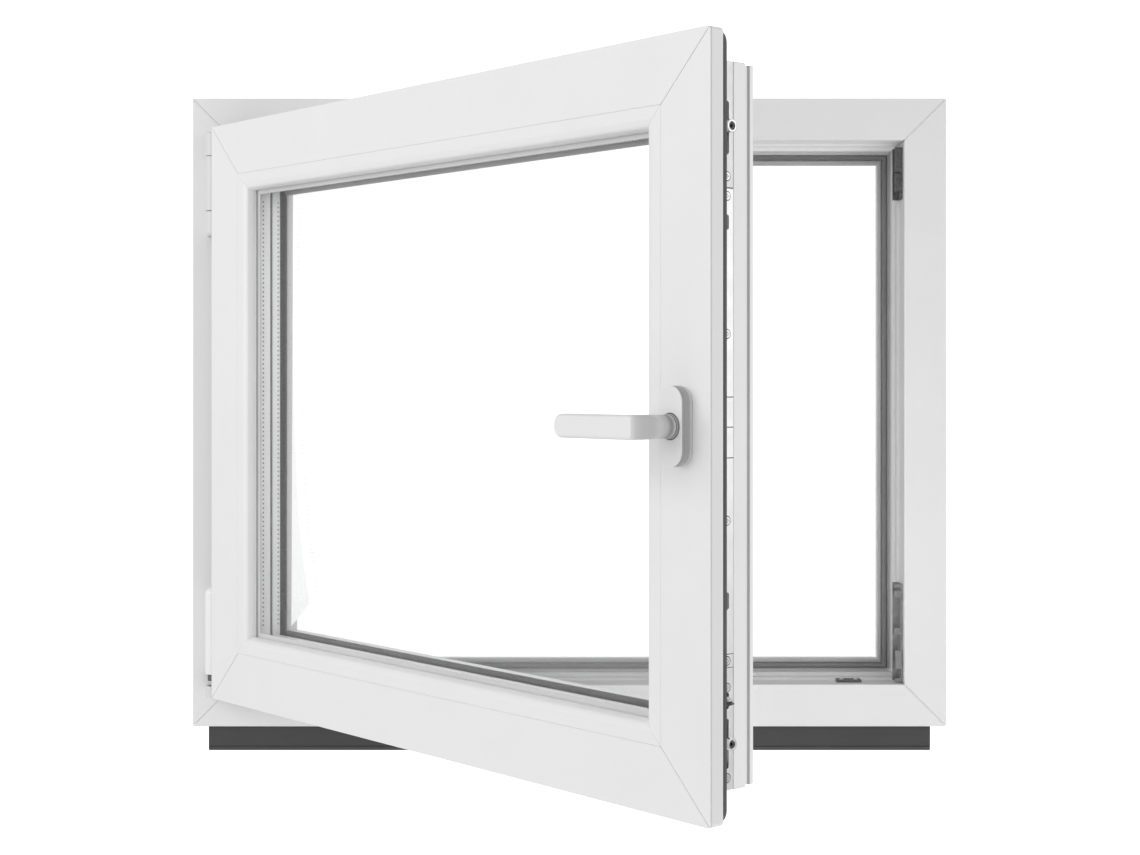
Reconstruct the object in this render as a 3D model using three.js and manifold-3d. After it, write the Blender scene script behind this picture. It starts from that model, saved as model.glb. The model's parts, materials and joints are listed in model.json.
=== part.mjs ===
// Tilt-and-turn casement window, white PVC-U profiles with steel reinforcement and triple glazing.
// Millimetres. X to the right seen from the room, Y outwards, Z up. The plane y = 0 is 35 mm behind the
// frame's room face, and z = 0 is the underside of the sill connection profile. The sash stands open.
import * as THREE from 'three';
import { mergeVertices } from 'three/addons/utils/BufferGeometryUtils.js';
import Module from 'manifold-3d';

const wasm = await Module();
wasm.setup();

// ---------------------------------------------------------------- driving dimensions
const FRAME_WIDTH = 900;
const FRAME_HEIGHT = 750;
const SILL_PROFILE_HEIGHT = 30;
const SILL_PROFILE_INSET = 18; // shorter than the frame at each end
const SASH_INSET = 38; // from the frame's outer edge to the sash's outer edge
const OPEN_ANGLE = 49; // degrees the sash is turned open
const FRAME_FRONT = -35; // room face of the frame
const FRAME_REAR = 42;
const SASH_FRONT = -55; // room face of the closed sash
const SASH_REAR = 22;
const WALL = 3; // outer walls of the hollow profiles
const STEEL = 1.5; // thickness of the reinforcement
const GAP = 0.3; // clearance between neighbouring pieces
const HINGE_OFFSET = 10.5; // turning axis outside the sash's edge
const HINGE_DEPTH = 9; // turning axis behind the sash's room face
const TILT_HEIGHT = 4; // tilting axis above the sash's lower edge
const GROOVE_CENTRE = -12; // middle of the hardware groove in depth
const HANDLE_INSET = 35; // handle axis from the sash's edge
const LEVER_LENGTH = 94;
const PANE = 4; // thickness of each glass pane
const PANE_GAP = 14; // gas space between two panes
const GLASS_INSET = 65; // glass edge from the sash's outer edge

// ---------------------------------------------------------------- worked-out places
const FRAME = {
  left: -FRAME_WIDTH / 2,
  right: FRAME_WIDTH / 2,
  bottom: SILL_PROFILE_HEIGHT,
  top: SILL_PROFILE_HEIGHT + FRAME_HEIGHT,
};
const SASH = {
  left: FRAME.left + SASH_INSET,
  right: FRAME.right - SASH_INSET,
  bottom: FRAME.bottom + SASH_INSET,
  top: FRAME.top - SASH_INSET,
};
const HINGE_X = SASH.left - HINGE_OFFSET;
const HINGE_Y = SASH_FRONT + HINGE_DEPTH;
const TILT_Z = SASH.bottom + TILT_HEIGHT;
const HANDLE_X = SASH.right - HANDLE_INSET;
const HANDLE_Z = (SASH.bottom + SASH.top) / 2;

// ---------------------------------------------------------------- materials
const finish = (color, roughness, metalness = 0) =>
  new THREE.MeshStandardMaterial({ color, roughness, metalness });
const WHITE_PVC = () => finish(0xebebec, 0.42);
const WHITE_PLASTIC = () => finish(0xf0f0f0, 0.35);
const GREY_SEAL = () => finish(0x55565a, 0.75);
const LIGHT_SEAL = () => finish(0xb9bbbd, 0.7);
const DARK_PVC = () => finish(0x4c4d50, 0.6);
const ZINC = () => finish(0xc9ccd0, 0.35, 0.9);
const GALVANISED = () => finish(0x9da2a6, 0.5, 0.85);
const ALUMINIUM = () => finish(0xd6d8da, 0.4, 0.9);
const DARK_METAL = () => finish(0x6d6f73, 0.5, 0.7);
const CLEAR_GLASS = () =>
  new THREE.MeshStandardMaterial({ color: 0xe6f2ee, roughness: 0.02, transparent: true, opacity: 0.2 });

// ---------------------------------------------------------------- solid helpers
function toSolid(geometry) {
  const bare = new THREE.BufferGeometry();
  bare.setAttribute('position', geometry.getAttribute('position').clone());
  if (geometry.index) bare.setIndex(geometry.index.clone());
  const merged = mergeVertices(bare, 1e-4);
  const vertProperties = Float32Array.from(merged.getAttribute('position').array);
  const triVerts = Uint32Array.from(merged.index.array);
  return new wasm.Manifold(new wasm.Mesh({ numProp: 3, vertProperties, triVerts }));
}

function toGeometry(solid) {
  const mesh = solid.getMesh();
  const geometry = new THREE.BufferGeometry();
  geometry.setAttribute('position', new THREE.BufferAttribute(mesh.vertProperties, 3));
  geometry.setIndex(new THREE.BufferAttribute(mesh.triVerts, 1));
  return geometry;
}

function join(...parts) {
  return toGeometry(parts.map(toSolid).reduce((all, part) => all.add(part)));
}

function cut(base, ...tools) {
  return toGeometry(tools.map(toSolid).reduce((rest, tool) => rest.subtract(tool), toSolid(base)));
}

// A box between two corners.
function block(x0, x1, y0, y1, z0, z1) {
  const geometry = new THREE.BoxGeometry(x1 - x0, y1 - y0, z1 - z0);
  return geometry.translate((x0 + x1) / 2, (y0 + y1) / 2, (z0 + z1) / 2);
}

// Round bars along Z, along Y and along X.
function barZ(radius, x, y, z0, z1, sides = 24) {
  const geometry = new THREE.CylinderGeometry(radius, radius, z1 - z0, sides).rotateX(Math.PI / 2);
  return geometry.translate(x, y, (z0 + z1) / 2);
}

function barY(radius, x, z, y0, y1, sides = 24) {
  return new THREE.CylinderGeometry(radius, radius, y1 - y0, sides).translate(x, (y0 + y1) / 2, z);
}

function barX(radius, y, z, x0, x1, sides = 24) {
  const geometry = new THREE.CylinderGeometry(radius, radius, x1 - x0, sides).rotateZ(Math.PI / 2);
  return geometry.translate((x0 + x1) / 2, y, z);
}

function outlineShape(points, holes = []) {
  const shape = new THREE.Shape(points.map(([u, y]) => new THREE.Vector2(u, y)));
  for (const hole of holes) shape.holes.push(new THREE.Path(hole.map(([u, y]) => new THREE.Vector2(u, y))));
  return shape;
}

const rectangle = (u0, u1, y0, y1) => [[u0, y0], [u1, y0], [u1, y1], [u0, y1]];

// One side of a mitred frame. The section is drawn in u, inwards from the outer edge, and y.
// The bar lies along X with u upwards. A mitred end is cut at 45 degrees, a square one is not.
function profileBar(points, holes, length, { mitred = true, clearance = GAP / 2 } = {}) {
  const options = { depth: 1, bevelEnabled: false };
  const geometry = new THREE.ExtrudeGeometry(outlineShape(points, holes), options);
  const place = geometry.getAttribute('position');
  for (let i = 0; i < place.count; i++) {
    const u = place.getX(i);
    const reach = length / 2 - (mitred ? u : 0) - clearance;
    place.setXYZ(i, place.getZ(i) < 0.5 ? reach : -reach, place.getY(i), u);
  }
  return geometry;
}

// A section carried round a rectangle, with mitred corners.
function profileRing(points, rect) {
  const corners = [
    [rect.left, rect.bottom, 1, 1],
    [rect.right, rect.bottom, -1, 1],
    [rect.right, rect.top, -1, -1],
    [rect.left, rect.top, 1, -1],
  ];
  const places = corners.flatMap(([x, z, sx, sz]) =>
    points.flatMap(([u, y]) => [x + sx * u, y, z + sz * u]));
  const count = points.length;
  const index = [];
  for (let side = 0; side < 4; side++) {
    const next = (side + 1) % 4;
    for (let k = 0; k < count; k++) {
      const after = (k + 1) % count;
      const [a, b] = [side * count + k, side * count + after];
      const [c, d] = [next * count + after, next * count + k];
      index.push(a, c, b, a, d, c);
    }
  }
  const geometry = new THREE.BufferGeometry();
  geometry.setAttribute('position', new THREE.Float32BufferAttribute(places, 3));
  geometry.setIndex(index);
  return geometry;
}

// Where a bar goes on each side of a rectangle: its middle and its turn about Y.
function sidePlace(side, rect) {
  const midX = (rect.left + rect.right) / 2;
  const midZ = (rect.bottom + rect.top) / 2;
  return {
    bottom: { x: midX, z: rect.bottom, turn: 0 },
    top: { x: midX, z: rect.top, turn: Math.PI },
    left: { x: rect.left, z: midZ, turn: Math.PI / 2 },
    right: { x: rect.right, z: midZ, turn: -Math.PI / 2 },
  }[side];
}

const sideLength = (side, rect) =>
  side === 'bottom' || side === 'top' ? rect.right - rect.left : rect.top - rect.bottom;

function addPiece(group, name, geometry, material) {
  const mesh = new THREE.Mesh(geometry, material);
  mesh.name = name;
  group.add(mesh);
  return mesh;
}

function addSideBar(group, name, side, rect, geometry, material) {
  const mesh = addPiece(group, name, geometry, material);
  const place = sidePlace(side, rect);
  mesh.position.set(place.x, 0, place.z);
  mesh.rotation.y = place.turn;
}

// The same bar, moved into place in its geometry so that it can be cut there.
function placedBar(side, rect, geometry) {
  const place = sidePlace(side, rect);
  return geometry.rotateY(place.turn).translate(place.x, 0, place.z);
}

// ---------------------------------------------------------------- sections (u inwards, y outwards)
const FRAME_LEG = 50; // view width of the room face
const FRAME_VIEW = 73; // view width with the outer stop
const STOP_FACE = 27; // depth of the stop that the sash closes against
const FRAME_SECTION = [
  [0, FRAME_FRONT], [FRAME_LEG, FRAME_FRONT], [FRAME_LEG, -2], [53, 1], [53, 11], [57, 15],
  [57, STOP_FACE], [FRAME_VIEW, STOP_FACE], [FRAME_VIEW, 38], [69, FRAME_REAR], [0, FRAME_REAR],
];
const FRAME_CHAMBERS = [
  rectangle(WALL, FRAME_LEG - WALL, -32, -24),
  rectangle(8, 46, -21, 24),
  rectangle(WALL, 54, 27.5, 39),
  rectangle(57, 69, 30, 38),
];
const FRAME_STEEL = [
  [8.5, -20.5], [45.5, -20.5], [45.5, 23.5], [8.5, 23.5], [8.5, 22], [44, 22], [44, -19], [8.5, -19],
];
const FRAME_GASKET = [
  [60.5, 26.7], [60.5, 24.4], [62.5, 22.7], [65, 23.2], [67, 25], [69, 23.4], [71.6, 22.9],
  [73.2, 24.2], [73.2, 26.7],
];

const SASH_EDGE = 22; // sash body inwards from the overlap's outer edge
const LEG_BACK = -39; // back of the overlap
const BEAD_SEAM = 60;
const BEAD_NOSE = 80;
const SASH_VIEW = 82;
const GROOVE_SEAT = 25; // seat of the hardware's faceplate
const GROOVE_FLOOR = 34;
const SASH_SECTION = [
  [0, SASH_FRONT], [BEAD_SEAM, SASH_FRONT], [BEAD_SEAM, -45], [57, -45], [57, -41], [BEAD_SEAM, -41],
  [BEAD_SEAM, 5], [SASH_VIEW, 5], [SASH_VIEW, 12], [79, 15], [56, SASH_REAR], [23, SASH_REAR],
  [23, 17.4], [25.5, 17.4], [25.5, 15.6], [24, 15.6], [24, 12.4], [SASH_EDGE, 10.6], [SASH_EDGE, -4],
  [GROOVE_SEAT, -4], [GROOVE_SEAT, -6], [GROOVE_FLOOR, -6], [GROOVE_FLOOR, -18], [GROOVE_SEAT, -18],
  [GROOVE_SEAT, -20], [SASH_EDGE, -20], [SASH_EDGE, LEG_BACK], [9, LEG_BACK], [9, -42], [6, -42],
  [6, LEG_BACK], [0, LEG_BACK],
];
const SASH_CHAMBERS = [
  rectangle(WALL, SASH_EDGE, -52, -45),
  rectangle(25, 54, -51.8, -44),
  rectangle(25.3, 33.8, -40.7, -22.5),
  rectangle(37, 57, -37, 7.2),
  rectangle(28.6, 54, 10.2, 18.7),
  rectangle(61, 77, 8.3, 12.2),
];
const SASH_STEEL = [
  [38, -36.7], [56.7, -36.7], [56.7, 6.9], [38, 6.9], [38, 5.4], [55.2, 5.4], [55.2, -35.2], [38, -35.2],
];
const BEAD_SECTION = [
  [BEAD_SEAM + GAP, SASH_FRONT], [70, SASH_FRONT], [74, -54.3], [77.2, -52.2], [79.2, -49],
  [BEAD_NOSE, -45], [BEAD_NOSE, -42], [BEAD_SEAM + GAP, -42], [BEAD_SEAM + GAP, -41.4], [57.4, -41.4],
  [57.4, -44.6], [BEAD_SEAM + GAP, -44.6],
];
const BEAD_GASKET = [
  [75, -41.7], [83, -41.7], [84.6, -40.6], [84.6, -39.4], [83.6, -38.6], [75, -38.6],
];
const OUTER_GASKET = [[74, 2], [83, 2], [84.6, 2.8], [84.6, 4], [83.6, 4.7], [74, 4.7]];
const OVERLAP_GASKET = [
  [6.4, -41.7], [8.6, -41.7], [8.6, -38.7], [12, -38.7], [12, -36.6], [10, -35.4], [1, -35.4],
  [0.3, -36.1], [0.3, -38.7], [6.4, -38.7],
];

// ---------------------------------------------------------------- fixed frame
function addFrame(group) {
  const names = {
    bottom: 'frame_sill', top: 'frame_head', left: 'frame_jamb_hinge', right: 'frame_jamb_lock',
  };
  const steels = {
    bottom: 'frame_steel_sill', top: 'frame_steel_head',
    left: 'frame_steel_hinge', right: 'frame_steel_lock',
  };
  for (const [side, name] of Object.entries(names)) {
    const length = sideLength(side, FRAME);
    addSideBar(group, name, side, FRAME, profileBar(FRAME_SECTION, FRAME_CHAMBERS, length), WHITE_PVC());
    const steelLength = length - 2 * FRAME_LEG;
    const steel = profileBar(FRAME_STEEL, [], steelLength, { mitred: false });
    addSideBar(group, steels[side], side, FRAME, steel, GALVANISED());
  }
  addPiece(group, 'frame_gasket', profileRing(FRAME_GASKET, FRAME), GREY_SEAL());
}

// The connection profile that the sill board screws to, with its lower front edge chamfered.
function addSillProfile(group) {
  const top = SILL_PROFILE_HEIGHT - GAP;
  const front = FRAME_FRONT + 7;
  const section = [
    [0, front + 2], [4, front], [top, front], [top, 2], [26, 2], [26, 8], [top, 8], [top, 28], [0, 28],
    [0, 18], [3, 18], [3, 10], [0, 10],
  ];
  const chambers = [rectangle(6, 23, front + WALL, 4), rectangle(6, 23, 7, 25)];
  const length = FRAME_WIDTH - 2 * SILL_PROFILE_INSET;
  const bar = profileBar(section, chambers, length, { mitred: false, clearance: 0 });
  addPiece(group, 'sill_connection_profile', bar, DARK_PVC());
}

// ---------------------------------------------------------------- sash
const GEARBOX_LENGTH = 94;
const SPINDLE_HOLE = 6; // radius of the hole for the spindle through the stile

function addSash(group) {
  const names = {
    bottom: 'sash_rail_bottom', top: 'sash_rail_top', left: 'sash_stile_hinge', right: 'sash_stile_lock',
  };
  const steels = {
    bottom: 'sash_steel_bottom', top: 'sash_steel_top', left: 'sash_steel_hinge', right: 'sash_steel_lock',
  };
  const beads = { bottom: 'bead_bottom', top: 'bead_top', left: 'bead_hinge', right: 'bead_lock' };
  const spindleHole = barY(SPINDLE_HOLE, HANDLE_X, HANDLE_Z, SASH_FRONT - 1, GROOVE_CENTRE - 5);
  const pocket = block(
    SASH.right - GROOVE_FLOOR - 5, SASH.right - GROOVE_FLOOR + 1, GROOVE_CENTRE - 6, GROOVE_CENTRE + 6,
    HANDLE_Z - GEARBOX_LENGTH / 2 - 1, HANDLE_Z + GEARBOX_LENGTH / 2 + 1,
  );
  for (const [side, name] of Object.entries(names)) {
    const length = sideLength(side, SASH);
    const bar = profileBar(SASH_SECTION, SASH_CHAMBERS, length);
    const steel = profileBar(SASH_STEEL, [], length - 2 * BEAD_SEAM, { mitred: false });
    if (side === 'right') {
      addPiece(group, name, cut(placedBar(side, SASH, bar), spindleHole, pocket), WHITE_PVC());
      addPiece(group, steels[side], cut(placedBar(side, SASH, steel), spindleHole), GALVANISED());
    } else {
      addSideBar(group, name, side, SASH, bar, WHITE_PVC());
      addSideBar(group, steels[side], side, SASH, steel, GALVANISED());
    }
    addSideBar(group, beads[side], side, SASH, profileBar(BEAD_SECTION, [], length), WHITE_PVC());
  }
}

// Three panes, with a spacer frame in each gas space, on two setting blocks.
function addGlazing(group) {
  const outerFace = 1.7;
  const half = {
    x: (SASH.right - SASH.left) / 2 - GLASS_INSET,
    z: (SASH.top - SASH.bottom) / 2 - GLASS_INSET,
  };
  const panes = ['glass_outer', 'glass_middle', 'glass_room'];
  const spacers = ['spacer_outer', 'spacer_room'];
  panes.forEach((name, i) => {
    const rear = outerFace - i * (PANE + PANE_GAP);
    const pane = block(-half.x, half.x, rear - PANE, rear, HANDLE_Z - half.z, HANDLE_Z + half.z);
    addPiece(group, name, pane, CLEAR_GLASS());
  });
  spacers.forEach((name, i) => {
    const rear = outerFace - PANE - GAP - i * (PANE + PANE_GAP);
    const front = rear - PANE_GAP + 2 * GAP;
    const edge = GLASS_INSET + 0.5;
    addPiece(group, name, profileRing(rectangle(edge, edge + 14, front, rear), SASH), ALUMINIUM());
  });
  const blockLength = 100;
  const base = SASH.bottom + BEAD_SEAM + GAP;
  const places = [['setting_block_hinge', -half.x + 60], ['setting_block_lock', half.x - 60 - blockLength]];
  for (const [name, x] of places) {
    addPiece(group, name, block(x, x + blockLength, -36, 0, base, base + 4.2), GREY_SEAL());
  }
  addPiece(group, 'bead_gasket', profileRing(BEAD_GASKET, SASH), LIGHT_SEAL());
  addPiece(group, 'outer_glazing_gasket', profileRing(OUTER_GASKET, SASH), GREY_SEAL());
}

// ---------------------------------------------------------------- hinge side
const BARREL = 9.8; // radius of the hinge covers
const CORE = 7; // radius of the steel knuckles
const PIN = 3;
const PIN_HOLE = 3.4;
const TOP_HINGE = { cap: 614, bearing: 644, knuckle: 709, end: 736 };
const BOTTOM_HINGE = { base: SASH.bottom + GAP, bearingTop: 81, cover: 95, top: 198 };
const SWIVEL = 6; // radius of the swivel in the bottom bearing
const SWIVEL_BASE = 71.5;
const PIN_START = 78;
const STRAP = { front: -38.4, rear: -35.9 }; // steel straps between the overlap and the frame's face
const STAY_STRAP = { z0: 724, z1: 729.5 };
const BAND_STRAP = { z0: 100, z1: 118 };

// A hinge cover's outline seen from above: round in front, flat against the frame's face.
function coverOutline(radius, back) {
  const shape = new THREE.Shape();
  shape.moveTo(HINGE_X - radius, back);
  shape.lineTo(HINGE_X + radius, back);
  shape.lineTo(HINGE_X + radius, HINGE_Y);
  shape.absarc(HINGE_X, HINGE_Y, radius, 0, -Math.PI, true);
  shape.lineTo(HINGE_X - radius, back);
  return shape;
}

function coverBlock(radius, back, z0, z1) {
  const options = { depth: z1 - z0, bevelEnabled: false, curveSegments: 10 };
  return new THREE.ExtrudeGeometry(coverOutline(radius, back), options).translate(0, 0, z0);
}

// The covers' rounded end: half a ball on the barrel.
function roundedEnd(radius, z) {
  return new THREE.SphereGeometry(radius, 20, 12).translate(HINGE_X, HINGE_Y, z);
}

function addFixedHinges(group) {
  const back = FRAME_FRONT - GAP;
  const { cap, bearing, knuckle, end } = TOP_HINGE;
  const pinHole = (z0, z1) => barZ(PIN_HOLE, HINGE_X, HINGE_Y, z0, z1);
  const core = join(
    barZ(CORE, HINGE_X, HINGE_Y, bearing + 1, knuckle - GAP),
    block(HINGE_X - 5, HINGE_X + 5, HINGE_Y, back, bearing + 1, knuckle - GAP),
  );
  addPiece(group, 'top_hinge_bearing', cut(core, pinHole(bearing, knuckle)), ZINC());
  const shell = cut(
    coverBlock(BARREL, back, bearing + GAP, knuckle - GAP),
    coverBlock(CORE + 0.6, back + 1, bearing, knuckle),
  );
  addPiece(group, 'top_hinge_cover', shell, WHITE_PLASTIC());
  const capBody = coverBlock(BARREL, back, cap, bearing - GAP);
  addPiece(group, 'top_hinge_cap', cut(capBody, pinHole(bearing - 12, bearing)), WHITE_PLASTIC());
  addPiece(group, 'top_hinge_pin', barZ(PIN, HINGE_X, HINGE_Y, bearing - 10, end - 4), ZINC());

  const { base, bearingTop } = BOTTOM_HINGE;
  const cup = cut(
    coverBlock(BARREL, back, base, bearingTop),
    barZ(SWIVEL + 0.4, HINGE_X, HINGE_Y, SWIVEL_BASE - GAP, bearingTop + 1),
  );
  addPiece(group, 'bottom_hinge_bearing', cup, WHITE_PLASTIC());
}

// The swivel turns with the sash in the bottom bearing and carries the tilting axis.
function addSwivel(group) {
  addPiece(group, 'pivot_swivel', barZ(SWIVEL, HINGE_X, HINGE_Y, SWIVEL_BASE, PIN_START - 1), ZINC());
}

// The corner band with its pin, its steel strap behind the overlap and its white cover.
function addCornerBand(group) {
  const { cover, top } = BOTTOM_HINGE;
  const groove = SASH.left + SASH_EDGE;
  addPiece(group, 'pivot_pin', barZ(3.5, HINGE_X, HINGE_Y, PIN_START, cover + 60), ZINC());
  const band = join(
    barZ(CORE, HINGE_X, HINGE_Y, cover - 8, top - 12),
    block(HINGE_X - 4, HINGE_X + 4, HINGE_Y, STRAP.rear, BAND_STRAP.z0, BAND_STRAP.z1),
    block(HINGE_X - 4, groove - GAP, STRAP.front, STRAP.rear, BAND_STRAP.z0, BAND_STRAP.z1),
    block(groove - 3, groove - GAP, STRAP.front, GROOVE_CENTRE, BAND_STRAP.z0, BAND_STRAP.z1),
    block(groove - 3, groove - GAP, GROOVE_CENTRE - 7.5, GROOVE_CENTRE + 7.5, 96, 210),
  );
  addPiece(group, 'corner_band', cut(band, barZ(3.8, HINGE_X, HINGE_Y, PIN_START, cover + 61)), ZINC());
  const shell = cut(
    join(barZ(BARREL, HINGE_X, HINGE_Y, cover, top - BARREL), roundedEnd(BARREL, top - BARREL)),
    barZ(CORE + 0.5, HINGE_X, HINGE_Y, cover - 1, top - 11.5),
    block(HINGE_X - 5, HINGE_X + 12, -40, -34, cover - 1, BAND_STRAP.z1 + 1),
  );
  addPiece(group, 'corner_band_cover', shell, WHITE_PLASTIC());
}

const STAY_LENGTH = 330; // hinge pin to the stay's sliding end
const STAY_ARM = { z0: 724, z1: 727, y0: GROOVE_CENTRE - 8, y1: GROOVE_CENTRE + 6 };

// The stay runs from the top hinge pin round the overlap and along the top rail.
function addStay(group) {
  const { knuckle, end } = TOP_HINGE;
  const turnX = HINGE_X + 23.5;
  const middle = (STAY_ARM.y0 + STAY_ARM.y1) / 2;
  const arm = join(
    barZ(8, HINGE_X, HINGE_Y, knuckle + GAP, end),
    block(HINGE_X - 4, HINGE_X + 4, HINGE_Y, STRAP.rear, STAY_STRAP.z0, STAY_STRAP.z1),
    block(HINGE_X - 4, turnX + 10, STRAP.front, STRAP.rear, STAY_STRAP.z0, STAY_STRAP.z1),
    block(turnX, turnX + 14, STRAP.front, STAY_ARM.y1, STAY_ARM.z0, STAY_ARM.z1),
    block(turnX, HINGE_X + STAY_LENGTH, STAY_ARM.y0, STAY_ARM.y1, STAY_ARM.z0, STAY_ARM.z1),
    barZ(7, HINGE_X + STAY_LENGTH, middle, STAY_ARM.z0, STAY_ARM.z1),
  );
  const holes = [
    barZ(PIN_HOLE, HINGE_X, HINGE_Y, knuckle, end - 3),
    barZ(3, HINGE_X + STAY_LENGTH, middle, STAY_ARM.z0 - 1, STAY_ARM.z1 + 1),
  ];
  addPiece(group, 'stay_arm', cut(arm, ...holes), ZINC());
}

// ---------------------------------------------------------------- locking hardware
const PLATE = {
  y0: GROOVE_CENTRE - 7.6, y1: GROOVE_CENTRE + 7.6, u0: SASH_EDGE + 0.2, u1: GROOVE_SEAT - GAP,
};
const PLATE_X = { outer: SASH.right - PLATE.u0, inner: SASH.right - PLATE.u1 };
const PLATE_Z = { outer: SASH.top - PLATE.u0, inner: SASH.top - PLATE.u1 };
const fromSashBottom = (height) => SASH.bottom + height;
const CAM_TOP = fromSashBottom(595);
const CAM_BOTTOM = fromSashBottom(63);
const CAM_TRAVEL = 18;
const GUARD_LEVER = fromSashBottom(99);

// A slot through the lock stile's faceplate, from one height to another.
function plateSlot(z0, z1, width) {
  const [y0, y1] = [GROOVE_CENTRE - width / 2, GROOVE_CENTRE + width / 2];
  return block(PLATE_X.inner - 1, PLATE_X.outer + 1, y0, y1, z0, z1);
}

function addFaceplates(group) {
  const lower = fromSashBottom(167);
  const upper = fromSashBottom(542);
  const { y0, y1 } = PLATE;
  const gearboxPlate = cut(
    block(PLATE_X.inner, PLATE_X.outer, y0, y1, lower + GAP, upper - GAP),
    plateSlot(fromSashBottom(506), fromSashBottom(519), 5),
    plateSlot(fromSashBottom(178), fromSashBottom(193), 5),
  );
  addPiece(group, 'faceplate_gearbox', gearboxPlate, ZINC());
  const camSlot = (cam) => plateSlot(cam - CAM_TRAVEL - 5, cam + CAM_TRAVEL + 5, 7);
  const topDrive = cut(
    join(
      block(PLATE_X.inner, PLATE_X.outer, y0, y1, upper + GAP, PLATE_Z.outer),
      block(230, PLATE_X.outer, y0, y1, PLATE_Z.inner, PLATE_Z.outer),
    ),
    camSlot(CAM_TOP),
  );
  addPiece(group, 'corner_drive_top', topDrive, ZINC());
  const bottomPlate = { inner: SASH.bottom + PLATE.u1, outer: SASH.bottom + PLATE.u0 };
  const bottomDrive = cut(
    join(
      block(PLATE_X.inner, PLATE_X.outer, y0, y1, bottomPlate.outer, lower - GAP),
      block(250, PLATE_X.outer, y0, y1, bottomPlate.outer, bottomPlate.inner),
    ),
    camSlot(CAM_BOTTOM),
    plateSlot(GUARD_LEVER - 13, GUARD_LEVER + 13, 6),
    plateSlot(fromSashBottom(149), fromSashBottom(162), 5),
  );
  addPiece(group, 'corner_drive_bottom', bottomDrive, ZINC());
  const guideBlock = block(-110, -60, STAY_ARM.y0, STAY_ARM.y1, PLATE_Z.outer, STAY_ARM.z0 - 2);
  const guide = join(block(-385, 190, y0, y1, PLATE_Z.inner, PLATE_Z.outer), guideBlock);
  addPiece(group, 'stay_guide', guide, ZINC());
}

const FOLLOWER = 6.2; // radius of the gearbox's toothed wheel

function addGearbox(group) {
  const x1 = SASH.right - 31;
  const [y0, y1] = [GROOVE_CENTRE - 5.5, GROOVE_CENTRE + 5.5];
  const body = block(x1 - 16, x1, y0, y1, HANDLE_Z - GEARBOX_LENGTH / 2, HANDLE_Z + GEARBOX_LENGTH / 2);
  const bore = barY(FOLLOWER + 0.4, HANDLE_X, HANDLE_Z, y0 - 1, y1 + 1);
  addPiece(group, 'gearbox_case', cut(body, bore), GALVANISED());
}

function addGuardLever(group) {
  const x = PLATE_X.outer;
  const profile = [[x - 6, -5], [x - 1, -5], [x + 7, -2], [x + 7, 1], [x + 1, 6], [x - 6, 6]];
  const shape = new THREE.Shape(profile.map(([px, pz]) => new THREE.Vector2(px, pz)));
  const lever = new THREE.ExtrudeGeometry(shape, { depth: 5, bevelEnabled: false }).rotateX(Math.PI / 2);
  addPiece(group, 'guard_lever', lever.translate(0, GROOVE_CENTRE + 2.5, GUARD_LEVER), DARK_METAL());
}

// The rod behind the faceplate slides up and down and carries both roller cams.
function addLockRod(group) {
  const x0 = SASH.right - 28.5;
  const x1 = SASH.right - 25.2;
  const [y0, y1] = [GROOVE_CENTRE - 5, GROOVE_CENTRE + 5];
  const strip = block(x0, x1, y0, y1, fromSashBottom(46), fromSashBottom(625));
  const notch = block(x0 - 1, x1 + 1, y0 + 1, y1 - 1, GUARD_LEVER - 36, GUARD_LEVER + 36);
  const rail = block(x0, x1, y1 - 2, y1, GUARD_LEVER - 37, GUARD_LEVER + 37);
  addPiece(group, 'lock_rod', join(cut(strip, notch), rail), GALVANISED());
  for (const [name, z] of [['roller_cam_top', CAM_TOP], ['roller_cam_bottom', CAM_BOTTOM]]) {
    const cam = join(
      barX(2.8, GROOVE_CENTRE, z, x1 + GAP, SASH.right - 15, 16),
      barX(5, GROOVE_CENTRE, z, SASH.right - SASH_EDGE + 0.6, SASH.right - 14.4, 24),
    );
    addPiece(group, name, cam, ZINC());
  }
}

function addTopRod(group) {
  const z0 = SASH.top - 30.5;
  const rod = block(-60, 340, GROOVE_CENTRE - 5, GROOVE_CENTRE + 5, z0, z0 + 3.5);
  addPiece(group, 'stay_rod', rod, GALVANISED());
}

// ---------------------------------------------------------------- keeps on the frame
function addKeeps(group) {
  const x1 = FRAME.right - FRAME_LEG - GAP; // rebate face of the lock jamb
  const front = GROOVE_CENTRE - 11;
  const rear = GROOVE_CENTRE + 9;
  const base = (z0, z1) => block(x1 - 1.8, x1, front, rear, z0, z1);
  const lip = (z0, z1, y0, y1) => block(x1 - 8.6, x1 - 1, y0, y1, z0, z1);
  const frontLip = (z0, z1) => lip(z0, z1, front, front + 4.5);
  const rearLip = (z0, z1) => lip(z0, z1, rear - 2.5, rear);
  const striker = join(
    base(661, 723), frontLip(670.5, 691.8), frontLip(693.6, 723), rearLip(661, 723),
  );
  addPiece(group, 'striker_top', striker, DARK_METAL());
  const keep = join(
    base(80.5, 199), rearLip(80.5, 199), frontLip(81.5, 85.5), frontLip(138, 146), frontLip(182.4, 190.5),
    frontLip(194.5, 198), lip(97, 119, front - 1.8, front + 0.1),
  );
  addPiece(group, 'tilt_keep', keep, ZINC());
  const seat = FRAME.bottom + FRAME_LEG;
  const sillKeep = block(322, 351, GROOVE_CENTRE - 8, GROOVE_CENTRE + 7, seat + GAP, seat + 3);
  addPiece(group, 'sill_keep', sillKeep, DARK_METAL());
}

// ---------------------------------------------------------------- handle
const ROSETTE = { width: 28, height: 69, thick: 13 };
const ROSETTE_BACK = SASH_FRONT - GAP;
const ROSETTE_FRONT = ROSETTE_BACK - ROSETTE.thick;
const NECK = 10; // radius
const COLLAR = 10.8;
const GRIP = { front: -123, rear: -109, height: 20.6 };
const SPINDLE = 7; // width of the square spindle

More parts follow.
